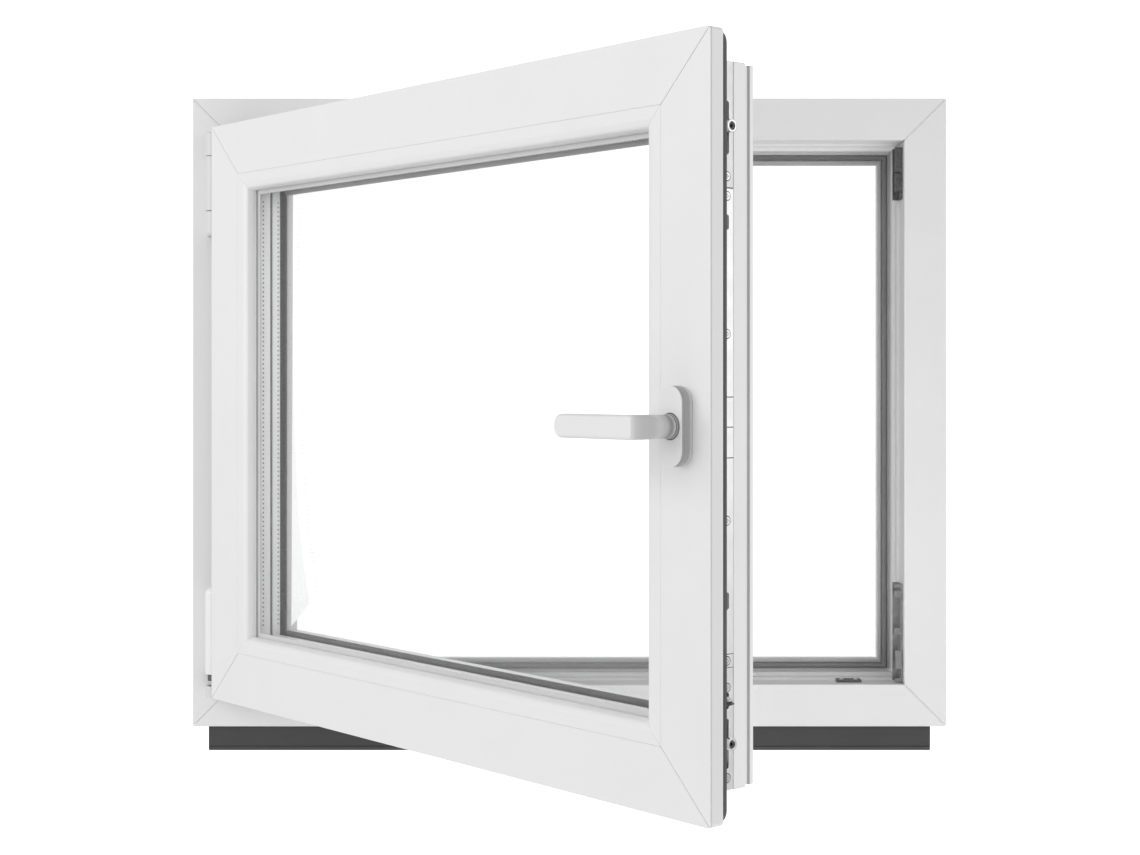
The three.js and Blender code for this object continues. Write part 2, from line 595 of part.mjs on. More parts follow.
function addRosette(group) {
  const half = ROSETTE.width / 2;
  const straight = ROSETTE.height / 2 - half;
  const shape = new THREE.Shape();
  shape.absarc(0, straight, half, 0, Math.PI, false);
  shape.absarc(0, -straight, half, Math.PI, 2 * Math.PI, false);
  const options = { depth: ROSETTE.thick, bevelEnabled: false, curveSegments: 14 };
  const body = new THREE.ExtrudeGeometry(shape, options).rotateX(Math.PI / 2);
  body.translate(HANDLE_X, ROSETTE_BACK, HANDLE_Z);
  const hole = barY(COLLAR + GAP, HANDLE_X, HANDLE_Z, ROSETTE_FRONT - 1, ROSETTE_BACK + 1, 32);
  addPiece(group, 'handle_rosette', cut(body, hole), WHITE_PLASTIC());
}

function addLever(group) {
  const half = GRIP.height / 2;
  const tipX = HANDLE_X - LEVER_LENGTH;
  const outer = HANDLE_X + NECK;
  const grip = new THREE.Shape();
  grip.moveTo(outer, GRIP.rear);
  grip.lineTo(tipX + 5, GRIP.rear);
  grip.quadraticCurveTo(tipX, GRIP.rear, tipX, GRIP.rear - 5);
  grip.lineTo(tipX + 1, GRIP.front + 4);
  grip.quadraticCurveTo(tipX + 2, GRIP.front, tipX + 6, GRIP.front);
  grip.lineTo(outer - 3, GRIP.front);
  grip.quadraticCurveTo(outer, GRIP.front, outer, GRIP.front + 3);
  const options = { depth: GRIP.height, bevelEnabled: false, curveSegments: 6 };
  const bar = new THREE.ExtrudeGeometry(grip, options).translate(0, 0, HANDLE_Z - half);
  const lever = join(
    bar,
    barY(NECK, HANDLE_X, HANDLE_Z, GRIP.front + 3, ROSETTE_FRONT - 2, 32),
    barY(COLLAR, HANDLE_X, HANDLE_Z, ROSETTE_FRONT - 3, ROSETTE_BACK - 2, 32),
  );
  addPiece(group, 'handle_lever', cut(lever, squareBar(SPINDLE / 2 + GAP, -85, -50)), WHITE_PLASTIC());
}

// A square bar along Y on the handle's axis.
function squareBar(half, y0, y1) {
  return block(HANDLE_X - half, HANDLE_X + half, y0, y1, HANDLE_Z - half, HANDLE_Z + half);
}

function addSpindle(group) {
  const [y0, y1] = [GROOVE_CENTRE - 5, GROOVE_CENTRE + 5];
  addPiece(group, 'handle_spindle', squareBar(SPINDLE / 2, -84, y1), ZINC());
  const square = squareBar(SPINDLE / 2 + GAP, y0 - 1, y1 + 1);
  const wheel = cut(barY(FOLLOWER, HANDLE_X, HANDLE_Z, y0, y1, 18), square);
  addPiece(group, 'gearbox_follower', wheel, GALVANISED());
}

// ---------------------------------------------------------------- assembly
const casementWindow = new THREE.Group();
addFrame(casementWindow);
addSillProfile(casementWindow);
addFixedHinges(casementWindow);
addKeeps(casementWindow);

// What turns with the sash is placed as if the window were closed, inside a group turned open.
const turned = new THREE.Group();
turned.position.set(HINGE_X, HINGE_Y, 0);
turned.rotation.z = -THREE.MathUtils.degToRad(OPEN_ANGLE);
casementWindow.add(turned);
const closed = new THREE.Group();
closed.position.set(-HINGE_X, -HINGE_Y, 0);
turned.add(closed);

addSwivel(closed);
addSash(closed);
addGlazing(closed);
const strapNotches = [BAND_STRAP, STAY_STRAP].map(({ z0, z1 }) =>
  block(SASH.left, SASH.left + 20, -38.9, FRAME_FRONT, z0 - 1, z1 + 1));
addPiece(closed, 'overlap_gasket', cut(profileRing(OVERLAP_GASKET, SASH), ...strapNotches), GREY_SEAL());
addCornerBand(closed);
addStay(closed);
addFaceplates(closed);
addGearbox(closed);
addGuardLever(closed);
addLockRod(closed);
addTopRod(closed);
addRosette(closed);
addLever(closed);
addSpindle(closed);

export default casementWindow;
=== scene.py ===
"""Looks of the tilt-and-turn casement window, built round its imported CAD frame."""
import json
import math

import bmesh
import bpy
from mathutils import Matrix, Vector
from mathutils.geometry import tessellate_polygon


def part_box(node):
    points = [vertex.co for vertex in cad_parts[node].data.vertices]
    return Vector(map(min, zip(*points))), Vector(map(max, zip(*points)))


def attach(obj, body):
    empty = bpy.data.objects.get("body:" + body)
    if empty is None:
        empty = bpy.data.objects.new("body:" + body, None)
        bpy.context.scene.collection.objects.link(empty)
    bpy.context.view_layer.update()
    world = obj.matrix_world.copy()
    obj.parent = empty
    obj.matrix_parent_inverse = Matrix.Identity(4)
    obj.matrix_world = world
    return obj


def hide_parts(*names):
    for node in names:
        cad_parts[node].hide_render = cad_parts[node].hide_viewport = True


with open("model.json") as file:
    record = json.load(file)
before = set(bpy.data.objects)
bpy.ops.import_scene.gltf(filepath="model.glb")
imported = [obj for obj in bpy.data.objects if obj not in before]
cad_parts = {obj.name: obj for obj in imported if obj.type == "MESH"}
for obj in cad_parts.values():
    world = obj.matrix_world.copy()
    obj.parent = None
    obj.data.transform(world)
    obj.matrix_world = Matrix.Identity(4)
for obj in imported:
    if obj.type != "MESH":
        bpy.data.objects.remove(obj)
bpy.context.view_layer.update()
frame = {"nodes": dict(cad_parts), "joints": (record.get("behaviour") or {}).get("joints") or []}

MM = 0.001


# ------ places, from the frame
def box_mm(*names):
    """Lowest and highest corner of the named CAD nodes together, in millimetres."""
    lows, highs = zip(*(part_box(name) for name in names))
    low = [min(corner[i] for corner in lows) / MM for i in range(3)]
    high = [max(corner[i] for corner in highs) / MM for i in range(3)]
    return low, high


JOINTS = {joint["name"]: joint for joint in frame["joints"]}
TURN = JOINTS["sash_turn"]
HINGE = Vector(TURN["pos_m"]) / MM
OPEN_ANGLE = math.radians(-TURN["range_deg"][0])
FRAME_LOW, FRAME_HIGH = box_mm("frame_sill", "frame_head", "frame_jamb_hinge", "frame_jamb_lock")
FRAME = {
    "left": round(FRAME_LOW[0]), "right": round(FRAME_HIGH[0]),
    "bottom": round(FRAME_LOW[2]), "top": round(FRAME_HIGH[2]),
}
SASH_INSET = 38  # from the frame's outer edge to the sash's
SASH = {
    "left": FRAME["left"] + SASH_INSET, "right": FRAME["right"] - SASH_INSET,
    "bottom": FRAME["bottom"] + SASH_INSET, "top": FRAME["top"] - SASH_INSET,
}
# Everything on the sash is made as if the window were closed, then turned open about the hinges.
OPENED = (
    Matrix.Translation(HINGE * MM)
    @ Matrix.Rotation(-OPEN_ANGLE, 4, "Z")
    @ Matrix.Translation(-HINGE * MM)
)
FIXED = Matrix.Identity(4)
FRAME_FRONT, FRAME_REAR = -35, 42
SASH_FRONT, SASH_REAR = -55, 22
GROOVE_CENTRE = -12  # middle of the hardware groove in depth
STILE_MIDDLE = 35  # the handle's axis, inwards from the sash's lock edge
HANDLE_X = SASH["right"] - STILE_MIDDLE
HANDLE_Z = (SASH["bottom"] + SASH["top"]) / 2


# ------ materials
def set_inputs(node, values):
    """Sets values on a node's own sockets, named with _ for each space."""
    for socket, value in values.items():
        node.inputs[socket.replace("_", " ")].default_value = value


def add_node(nodes, kind, **values):
    node = nodes.new(f"ShaderNode{kind}")
    set_inputs(node, values)
    return node


def principled(name, **values):
    """A material with one Principled shader, and what is needed to add to it."""
    material = bpy.data.materials.new(name)
    material.use_nodes = True
    shader = material.node_tree.nodes["Principled BSDF"]
    set_inputs(shader, values)
    return material, material.node_tree.nodes, material.node_tree.links, shader


def noise(nodes, links, scale, detail, stretch=(1, 1, 1)):
    """Noise in the part's own coordinates; scale is cycles in a metre."""
    where = add_node(nodes, "TexCoord")
    mapping = add_node(nodes, "Mapping", Scale=stretch)
    texture = add_node(nodes, "TexNoise", Scale=scale, Detail=detail)
    links.new(where.outputs["Object"], mapping.inputs["Vector"])
    links.new(mapping.outputs["Vector"], texture.inputs["Vector"])
    return texture.outputs["Fac"]


NOISE_LOW, NOISE_HIGH = 0.3, 0.7  # where most of a noise's values lie


def spread(nodes, links, source, low, high):
    """The source's values, mostly between NOISE_LOW and NOISE_HIGH, carried to low and high."""
    remap = add_node(nodes, "MapRange", From_Min=NOISE_LOW, From_Max=NOISE_HIGH, To_Min=low,
                     To_Max=high)
    links.new(source, remap.inputs["Value"])
    return remap.outputs["Result"]


def grey(value):
    return (value, value, value, 1)


def tint(nodes, links, source, dark, light):
    """The source's values, carried to greys between dark and light."""
    ramp = add_node(nodes, "ValToRGB")
    first, last = ramp.color_ramp.elements
    first.position, last.position = NOISE_LOW, NOISE_HIGH
    first.color, last.color = grey(dark), grey(light)
    links.new(source, ramp.inputs["Fac"])
    return ramp.outputs["Color"]


def add_bump(nodes, links, shader, source, strength, distance):
    bump = add_node(nodes, "Bump", Strength=strength, Distance=distance)
    links.new(source, bump.inputs["Height"])
    links.new(bump.outputs["Normal"], shader.inputs["Normal"])


def surface(name, dark, light, rough, patch=14.0, grain=900.0, bump=0.12, depth=0.00006,
            stretch=(1, 1, 1), **values):
    """A moulded, extruded or metal surface: soft patches of grey from dark to light, under a fine
    grain that varies the gloss and the height. Patch and grain are cycles in a metre."""
    material, nodes, links, shader = principled(name, **values)
    patches = noise(nodes, links, patch, 4.0)
    fine = noise(nodes, links, grain, 2.0, stretch)
    links.new(tint(nodes, links, patches, dark, light), shader.inputs["Base Color"])
    links.new(spread(nodes, links, fine, rough[0], rough[1]), shader.inputs["Roughness"])
    add_bump(nodes, links, shader, fine, bump, depth)
    return material


def paint_shade_with_depth(material, stops):
    """Paints shade into a colour, darker with depth in the closed sash. The stops are (y in
    millimetres, grey), from the room side."""
    nodes, links = material.node_tree.nodes, material.node_tree.links
    where = add_node(nodes, "TexCoord")
    shut = Matrix.Rotation(OPEN_ANGLE, 3, "Z") @ -HINGE + HINGE
    closed = add_node(nodes, "Mapping", Rotation=(0, 0, OPEN_ANGLE), Location=shut * MM)
    split = add_node(nodes, "SeparateXYZ")
    depth = add_node(nodes, "MapRange", From_Min=stops[0][0] * MM, From_Max=stops[-1][0] * MM)
    ramp = add_node(nodes, "ValToRGB")
    ramp.color_ramp.interpolation = "EASE"
    reach = stops[-1][0] - stops[0][0]
    for i, (y, value) in enumerate(stops):
        place = (y - stops[0][0]) / reach
        stop = ramp.color_ramp.elements[0] if i == 0 else ramp.color_ramp.elements.new(place)
        stop.position = place
        stop.color = grey(value)
    ramp.color_ramp.elements.remove(ramp.color_ramp.elements[-1])
    both = add_node(nodes, "Mix")
    both.data_type = "RGBA"
    both.blend_type = "MULTIPLY"
    both.inputs["Factor"].default_value = 1.0
    shader = nodes["Principled BSDF"]
    colour = shader.inputs["Base Color"].links[0].from_socket
    links.new(where.outputs["Object"], closed.inputs["Vector"])
    links.new(closed.outputs["Vector"], split.inputs["Vector"])
    links.new(split.outputs["Y"], depth.inputs["Value"])
    links.new(depth.outputs["Result"], ramp.inputs["Fac"])
    links.new(colour, both.inputs["A"])
    links.new(ramp.outputs["Color"], both.inputs["B"])
    links.new(both.outputs["Result"], shader.inputs["Base Color"])
    return material


def glass_material(name):
    """Clear pane: bends light for what is seen through it, and lets the lamps' light pass."""
    material, nodes, links, shader = principled(
        name, Base_Color=(0.997, 0.999, 0.998, 1), Roughness=0.0, IOR=1.45,
        Transmission_Weight=1.0)
    path = add_node(nodes, "LightPath")
    clear = add_node(nodes, "BsdfTransparent")
    mix = add_node(nodes, "MixShader")
    links.new(path.outputs["Is Shadow Ray"], mix.inputs["Fac"])
    links.new(shader.outputs["BSDF"], mix.inputs[1])
    links.new(clear.outputs["BSDF"], mix.inputs[2])
    links.new(mix.outputs["Shader"], nodes["Material Output"].inputs["Surface"])
    return material


FRAME_WHITE = surface("frame_white", 0.80, 0.815, (0.34, 0.44))
# Painted shade: the rebate faces of the sill and jambs are a darker white than the frame's face.
FRAME_REBATE_PAINTED_SHADE = surface("frame_rebate_painted_shade", 0.56, 0.58, (0.4, 0.5))
# Painted light: the head's rebate, facing down, is a brighter white than the frame's face.
HEAD_REBATE_PAINTED_LIGHT = surface("head_rebate_painted_light", 0.93, 0.95, (0.4, 0.5))
# Painted light: the lock stile's edge behind the overlap is a brighter white, as if lit from the
# right.
SASH_EDGE_PAINTED_LIGHT = surface("sash_edge_painted_light", 0.94, 0.955, (0.32, 0.42))
SASH_WHITE = surface("sash_white", 0.825, 0.84, (0.32, 0.42))
FITTING_WHITE = surface("fitting_white", 0.69, 0.71, (0.28, 0.36), grain=1600.0, bump=0.05)
SLEEVE_WHITE = surface("sleeve_white", 0.86, 0.88, (0.28, 0.36), grain=1600.0, bump=0.05)
# Painted shade: the rosette's sides are darker than its front face, and the lever's neck darkens
# towards the rosette.
ROSETTE_PAINTED_SHADE = paint_shade_with_depth(
    surface("rosette_white_painted_shade", 0.80, 0.82, (0.36, 0.46), grain=2600.0, bump=0.16),
    [(-68.3, 1.0), (-67.6, 1.0), (-67.2, 0.46), (-60.0, 0.53), (-55.3, 0.46)])
LEVER_PAINTED_SHADE = paint_shade_with_depth(
    surface("lever_white_painted_shade", 0.80, 0.82, (0.36, 0.46), grain=2600.0, bump=0.16),
    [(-123.0, 1.0), (-121.0, 0.9), (-116.0, 0.72), (-108.0, 0.64), (-98.0, 0.62),
     (-88.0, 0.7), (-81.0, 0.6), (-75.0, 0.32), (-69.0, 0.26)])
# Painted shade: the collar is the handle's white made much darker.
COLLAR_PAINTED_SHADE = surface("collar_white_painted_shade", 0.36, 0.4, (0.36, 0.46), grain=2600.0, bump=0.16)
SEAL_DARK = surface("seal_dark", 0.085, 0.11, (0.6, 0.8), grain=1500.0, bump=0.2)
SEAL_MID = surface("seal_mid", 0.42, 0.47, (0.55, 0.75), grain=1500.0, bump=0.2)
SEAL_BULB = surface("seal_bulb", 0.17, 0.2, (0.55, 0.75), grain=1500.0, bump=0.2)
SEAL_LIGHT = surface("seal_light", 0.64, 0.68, (0.5, 0.65), grain=1500.0, bump=0.15)
SILL_GREY = surface("sill_grey", 0.047, 0.054, (0.45, 0.6), grain=500.0, bump=0.2,
                    stretch=(0.05, 1, 1))
ZINC = surface("zinc", 0.78, 0.86, (0.34, 0.46), patch=60.0, grain=1400.0, bump=0.1,
               stretch=(1, 1, 0.08), Metallic=1.0)
# Painted shade: a darker copy of the zinc, for the top corner drive.
ZINC_PAINTED_SHADE = surface("zinc_painted_shade", 0.60, 0.68, (0.38, 0.5), patch=60.0, grain=1400.0, bump=0.1,
                    stretch=(1, 1, 0.08), Metallic=1.0)
GALVANISED = surface("galvanised", 0.42, 0.55, (0.4, 0.6), patch=90.0, grain=700.0, bump=0.15,
                     Metallic=1.0)
STEEL_BRIGHT = surface("steel_bright", 0.74, 0.82, (0.22, 0.34), patch=80.0, grain=1500.0,
                       bump=0.08, Metallic=1.0)
CAST = surface("cast_dark", 0.10, 0.19, (0.45, 0.65), patch=400.0, grain=1800.0, bump=0.5,
               depth=0.0002, Metallic=0.7)
ALUMINIUM = surface("spacer_metal", 0.93, 0.96, (0.3, 0.42), grain=1200.0, Metallic=0.25)
KEEP_ZINC = surface("keep_zinc", 0.34, 0.44, (0.34, 0.46), patch=160.0, grain=1400.0, bump=0.3,
                    Metallic=1.0)
# Pale grey: a pale seal's own colour, and also painted light on the top runs of dark seals.
SEAL_PALE = surface("seal_pale", 0.70, 0.76, (0.4, 0.6), grain=800.0, bump=0.25)
BUTYL = surface("butyl", 0.012, 0.02, (0.55, 0.7), grain=800.0, bump=0.25)
RUBBER_BLOCK = surface("block_plastic", 0.03, 0.045, (0.5, 0.65))
# Painted shade: a near-black for holes and gaps drawn as flat dark marks, such as spacer vents and
# the rings round screw heads.
HOLE_PAINTED_SHADE = surface("recess", 0.01, 0.016, (0.7, 0.9))
GLASS = glass_material("clear_glass")


# ------ sections
def counter_clockwise(points):
    area = sum(a[0] * b[1] - b[0] * a[1] for a, b in zip(points, points[1:] + points[:1]))
    return points if area > 0 else points[::-1]


NEARLY_STRAIGHT = 0.03  # in radians: such a corner isn't rounded
SIDE_SHARE = 0.45  # the most of a side that one corner's rounding takes
SHARP_LIMIT = 0.4  # keeps a sharp corner from moving too far when its outline is inset


def rounded(points, radius=0.4, steps=4):
    """A section with its corners rounded. A point may carry its own radius as a third number."""
    out = []
    for i, point in enumerate(points):
        corner = Vector(point[:2])
        to_last = Vector(points[i - 1][:2]) - corner
        to_next = Vector(points[(i + 1) % len(points)][:2]) - corner
        size = point[2] if len(point) > 2 else radius
        half = to_last.angle(to_next) / 2
        if size == 0 or abs(half - math.pi / 2) < NEARLY_STRAIGHT:
            out.append(corner)
            continue
        side = min(to_last.length, to_next.length)
        reach = min(size / math.tan(half), SIDE_SHARE * side)
        size = reach * math.tan(half)
        bisector = (to_last.normalized() + to_next.normalized()).normalized()
        centre = corner + bisector * (size / math.sin(half))
        first = corner + to_last.normalized() * reach - centre
        last = corner + to_next.normalized() * reach - centre
        start = math.atan2(first.y, first.x)
        sweep = (math.atan2(last.y, last.x) - start + math.pi) % math.tau - math.pi
        for k in range(steps + 1):
            angle = start + sweep * k / steps
            out.append(centre + size * Vector((math.cos(angle), math.sin(angle))))
    return counter_clockwise(out)


def inset(points, distance):
    """A counter-clockwise outline moved inwards by a distance, corner by corner."""
    if not distance:
        return [Vector(point) for point in points]
    out = []
    for i, point in enumerate(points):
        ahead = (Vector(points[(i + 1) % len(points)]) - Vector(point)).normalized()
        behind = (Vector(point) - Vector(points[i - 1])).normalized()
        normal = Vector((-ahead.y - behind.y, ahead.x + behind.x))
        if normal.length < 1e-6:
            normal = Vector((-ahead.y, ahead.x)) * 2
        normal.normalize()
        square = max(SHARP_LIMIT, normal.dot(Vector((-ahead.y, ahead.x))))
        out.append(Vector(point) + normal * (distance / square))
    return out


def oblong(x0, x1, y0, y1, radius, steps=5):
    return rounded([(x0, y0), (x1, y0), (x1, y1), (x0, y1)], radius, steps)


def circle(radius, sides=24, x=0.0, y=0.0):
    turns = (math.tau * k / sides for k in range(sides))
    return [Vector((x + radius * math.cos(turn), y + radius * math.sin(turn))) for turn in turns]


# ------ solids, in millimetres
def bridge(bm, first, second):
    for i in range(len(first)):
        j = (i + 1) % len(first)
        bm.faces.new((first[i], first[j], second[j], second[i]))


def cap(bm, loops):
    """Fills one flat end: an outline and the holes in it."""
    flat = [vert for loop in loops for vert in loop]
    for triangle in tessellate_polygon([[vert.co.copy() for vert in loop] for loop in loops]):
        bm.faces.new([flat[k] for k in triangle])


def swept(outline, holes, stations, put=None, hole_stations=None):
    """A closed solid: an outline and its holes carried through stations, with flat ends. A station
    is (where, inset), and put(point, where) gives a point's place: upwards if it is left out."""
    bm = bmesh.new()
    put = put or (lambda point, where: (point[0], point[1], where))

    def carried(points, stops, sign):
        loops = [[bm.verts.new(put(point, where)) for point in inset(points, sign * by)]
                 for where, by in stops]
        for first, second in zip(loops, loops[1:]):
            bridge(bm, first, second)
        return loops

    outer = carried(outline, stations, 1)
    inner = [carried(hole, hole_stations or stations, -1) for hole in holes]
    for end in (0, -1):
        cap(bm, [outer[end]] + [loops[end] for loops in inner])
    bmesh.ops.recalc_face_normals(bm, faces=bm.faces)
    return bm


def edge_stations(start, end, radius, both=True, steps=4):
    """Stations from start to end, with the last edge, or both, rounded by a quarter circle."""
    way = math.copysign(1, end - start)
    quarter = [(radius * (1 - math.cos(a)), radius * (1 - math.sin(a)))
               for a in (math.pi / 2 * k / steps for k in range(steps + 1))]
    first = [(start + way * along, by) for along, by in quarter] if both else [(start, 0.0)]
    return first + [(end - way * along, by) for along, by in reversed(quarter)]


BEND_STEPS = 6  # stations round each corner of a bent ring
CORNER_STEPS = 5  # stations along a bar's rounded outer corner
CORNER_REACH = 8.0  # how far inwards a rounded outer corner draws the section with it


def corner_drop(back, radius):
    """How far the outer face has curved in, at a distance behind the mitre."""
    if back >= radius:
        return 0.0
    return radius - (back + math.sqrt(2 * radius ** 2 - back ** 2)) / 2


def bar_solid(section, chambers, length, weld, corner=0.0, mitred=True):
    """One side of a mitred frame, along X with u upwards, with a shallow groove at each weld
    and, where asked for, a rounded outer corner. The weld is the groove's half width and depth,
    and the clearance inside it."""
    width, depth, clear = weld

    def put(point, where):
        side, back = where
        u = point[0]
        if u < CORNER_REACH:
            u += corner_drop(back, corner) * (1 - u / CORNER_REACH)
        return (side * (length / 2 - (u if mitred else 0) - back), point[1], u)

    stops = [(clear, depth), (clear + width, depth), (clear + width + depth, 0)]
    if corner:
        start = clear + width + depth
        steps = range(1, CORNER_STEPS + 1)
        stops += [(start + (corner - start) * k / CORNER_STEPS, 0) for k in steps]
    stations = [((-1, back), by) for back, by in stops]
    stations += [((1, back), by) for back, by in reversed(stops)]
    holes = [counter_clockwise([Vector(p) for p in chamber]) for chamber in chambers]
    return swept(rounded(section), holes, stations, put, [((-1, clear), 0), ((1, clear), 0)])


def ring_solid(section, rect, radius=0.3, steps=3, bend=0.0):
    """A section carried round a rectangle, with mitred corners or, given a bend, round ones."""
    outline = rounded(section, radius, steps)
    bm = bmesh.new()
    corners = [(rect["left"], rect["bottom"], 1, 1, 2), (rect["right"], rect["bottom"], -1, 1, 3),
               (rect["right"], rect["top"], -1, -1, 0), (rect["left"], rect["top"], 1, -1, 1)]
    loops = []
    for x, z, sx, sz, quadrant in corners:
        if not bend:
            loops.append([(x + sx * u, y, z + sz * u) for u, y in outline])
            continue
        for k in range(BEND_STEPS + 1):
            angle = math.pi / 2 * (quadrant + k / BEND_STEPS)
            across, up = math.cos(angle), math.sin(angle)
            loops.append([(x + sx * bend + across * (bend - u), y,
                           z + sz * bend + up * (bend - u)) for u, y in outline])
    loops = [[bm.verts.new(place) for place in loop] for loop in loops]
    for first, second in zip(loops, loops[1:] + loops[:1]):
        bridge(bm, first, second)
    bmesh.ops.recalc_face_normals(bm, faces=bm.faces)
    return bm


def turned_solid(profile, sides=40):
    """A solid turned about Z from (radius, height) points that start and end on the axis."""
    bm = bmesh.new()
    low = bm.verts.new((0, 0, profile[0][1]))
    high = bm.verts.new((0, 0, profile[-1][1]))
    turns = [(math.cos(math.tau * k / sides), math.sin(math.tau * k / sides)) for k in range(sides)]
    loops = [[bm.verts.new((r * c, r * s, z)) for c, s in turns] for r, z in profile[1:-1]]
    for first, second in zip(loops, loops[1:]):
        bridge(bm, first, second)
    for k in range(sides):
        j = (k + 1) % sides
        bm.faces.new((low, loops[0][j], loops[0][k]))
        bm.faces.new((high, loops[-1][k], loops[-1][j]))
    bmesh.ops.recalc_face_normals(bm, faces=bm.faces)
    return bm


def lofted(rings):
    """A closed solid through rings of places, all with the same number of points."""
    bm = bmesh.new()
    loops = [[bm.verts.new(place) for place in ring] for ring in rings]
    for first, second in zip(loops, loops[1:]):
        bridge(bm, first, second)
    bm.faces.new(loops[0])
    bm.faces.new(loops[-1][::-1])
    bmesh.ops.recalc_face_normals(bm, faces=bm.faces)
    return bm


FACING = {
    "up": Matrix.Identity(4),
    "down": Matrix.Rotation(math.pi, 4, "X"),
    "right": Matrix.Rotation(math.pi / 2, 4, "Y"),
    "left": Matrix.Rotation(-math.pi / 2, 4, "Y"),
    "room": Matrix.Rotation(math.pi / 2, 4, "X"),
}


def moved(solid, x, y, z, facing="up"):
    """A solid made upwards from its seat, seated at a place and turned to face a way."""
    place = Matrix.Translation((x, y, z)) @ FACING[facing]
    bmesh.ops.transform(solid, matrix=place, verts=solid.verts)
    return solid


def merged(solids):
    """Several solids as one mesh."""
    whole = bmesh.new()
    for solid in solids:
        mesh = mesh_of("part", solid)
        whole.from_mesh(mesh)
        bpy.data.meshes.remove(mesh)
    return whole


def screw(radius, height):
    """A screw's head with a cross recess, upwards from its seat."""
    arm, half = 0.55 * radius, 0.14 * radius  # reach and half width of the recess's arms
    cross = [(half, half), (half, arm), (-half, arm), (-half, half), (-arm, half), (-arm, -half),
             (-half, -half), (-half, -arm), (half, -arm), (half, -half), (arm, -half), (arm, half)]
    recess = counter_clockwise([Vector(p) for p in cross])
    return swept(circle(radius), [recess], edge_stations(0, height, 0.5 * height, both=False),
                 hole_stations=[(0, 0), (height, 0)])


# ------ pieces
SMOOTH_ANGLE = math.radians(33)  # edges below this are shaded smooth
BEVEL_ANGLE = math.radians(35)  # edges above this are rounded on the nodes kept from the CAD
WELD_DISTANCE = 0.00001


def add_object(name, data):
    obj = bpy.data.objects.new(name, data)
    bpy.context.scene.collection.objects.link(obj)
    return obj


def mesh_of(name, solid):
    mesh = bpy.data.meshes.new(name)
    solid.to_mesh(mesh)
    solid.free()
    return mesh


def paint(solid, is_second):
    """Gives the second material to the faces that pass a test."""
    for face in solid.faces:
        face.material_index = int(is_second(face))


def piece(name, solid, place, material, body, replaces=(), weighted=True, second=None):
    """Makes the object, in place, riding on its body and standing for its CAD nodes."""
    bmesh.ops.transform(solid, matrix=place @ Matrix.Scale(MM, 4), verts=solid.verts)
    for face in solid.faces:
        face.smooth = True
    for edge in solid.edges:
        edge.smooth = len(edge.link_faces) == 2 and edge.calc_face_angle(0.0) < SMOOTH_ANGLE
    mesh = mesh_of(name, solid)
    mesh.materials.append(material)
    if second:
        mesh.materials.append(second)
    obj = add_object(name, mesh)
    if weighted:
        normals = obj.modifiers.new("normals", "WEIGHTED_NORMAL")
        normals.keep_sharp = True
    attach(obj, body)
    if replaces:
        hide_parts(*replaces)


def soften(names, material, width):
    """Keeps CAD nodes as they are, with their edges rounded and a better material."""
    for name in names:
        obj = frame["nodes"][name]
        obj.data.materials.clear()
        obj.data.materials.append(material)
        weld = obj.modifiers.new("weld", "WELD")
        weld.merge_threshold = WELD_DISTANCE
        bevel = obj.modifiers.new("edges", "BEVEL")
        bevel.width = width * MM
        bevel.segments = 2
        bevel.limit_method = "ANGLE"
        bevel.angle_limit = BEVEL_ANGLE
        bevel.harden_normals = False


def side_matrix(side, rect):
    """Places a bar at one side of a rectangle, with its u pointing inwards."""
    mid_x = (rect["left"] + rect["right"]) / 2
    mid_z = (rect["bottom"] + rect["top"]) / 2
    x, z, turn = {
        "bottom": (mid_x, rect["bottom"], 0.0),
        "top": (mid_x, rect["top"], math.pi),
        "left": (rect["left"], mid_z, math.pi / 2),
        "right": (rect["right"], mid_z, -math.pi / 2),
    }[side]
    return Matrix.Translation((x * MM, 0, z * MM)) @ Matrix.Rotation(turn, 4, "Y")


def side_length(side, rect):
    if side in ("bottom", "top"):
        return rect["right"] - rect["left"]
    return rect["top"] - rect["bottom"]


# ------ frame
# Sections are points (u, y): u inwards from the outer edge, y away from the room.
FRAME_LEG, FRAME_VIEW = 50, 73  # u of the frame's leg and of its outer stop
STOP_FACE = 27  # y of the stop's face
FRAME_SECTION = [
    (0, FRAME_FRONT, 1.2), (FRAME_LEG, FRAME_FRONT, 1.4), (FRAME_LEG, -2, 3), (53, 1, 3),
    (53, 11, 3), (57, 15, 3), (57, STOP_FACE), (FRAME_VIEW, STOP_FACE, 0.8),
    (FRAME_VIEW, 38, 0.8), (69, FRAME_REAR, 0.8), (0, FRAME_REAR, 1.2),
]
FRAME_CHAMBERS = [
    [(3, -32), (47, -32), (47, -24), (3, -24)],
    [(8, -21), (46, -21), (46, 24), (8, 24)],
    [(3, 27.5), (54, 27.5), (54, 39), (3, 39)],
    [(57, 30), (69, 30), (69, 38), (57, 38)],
]
FRAME_WELD = (1.6, 0.35, 0.2)
# The seal on the outer stop has a dark bulb and, towards the daylight, a paler lip.
STOP_BULB = [(60.5, 26.7), (60.5, 24.2), (62.5, 22.6), (65.2, 22.9), (66.9, 24.6), (66.9, 26.7)]
STOP_LIP = [(67.2, 26.7), (67.2, 24.9), (69, 23.3), (71.6, 22.8), (73.3, 24.2), (73.3, 26.7)]


def along_bar(face):
    """True for the faces along a bar, false for those at its ends."""
    return abs(face.normal.x) < 0.1


def in_rebate(face):
    """The frame's faces from its leg to the stop that the sash shuts against. They are given
    painted shade, and on the head painted light.
    """
    middle = face.calc_center_median()
    between = FRAME_FRONT + 1 < middle.y < STOP_FACE + 0.5
    return between and middle.z > FRAME_LEG - 1 and along_bar(face)


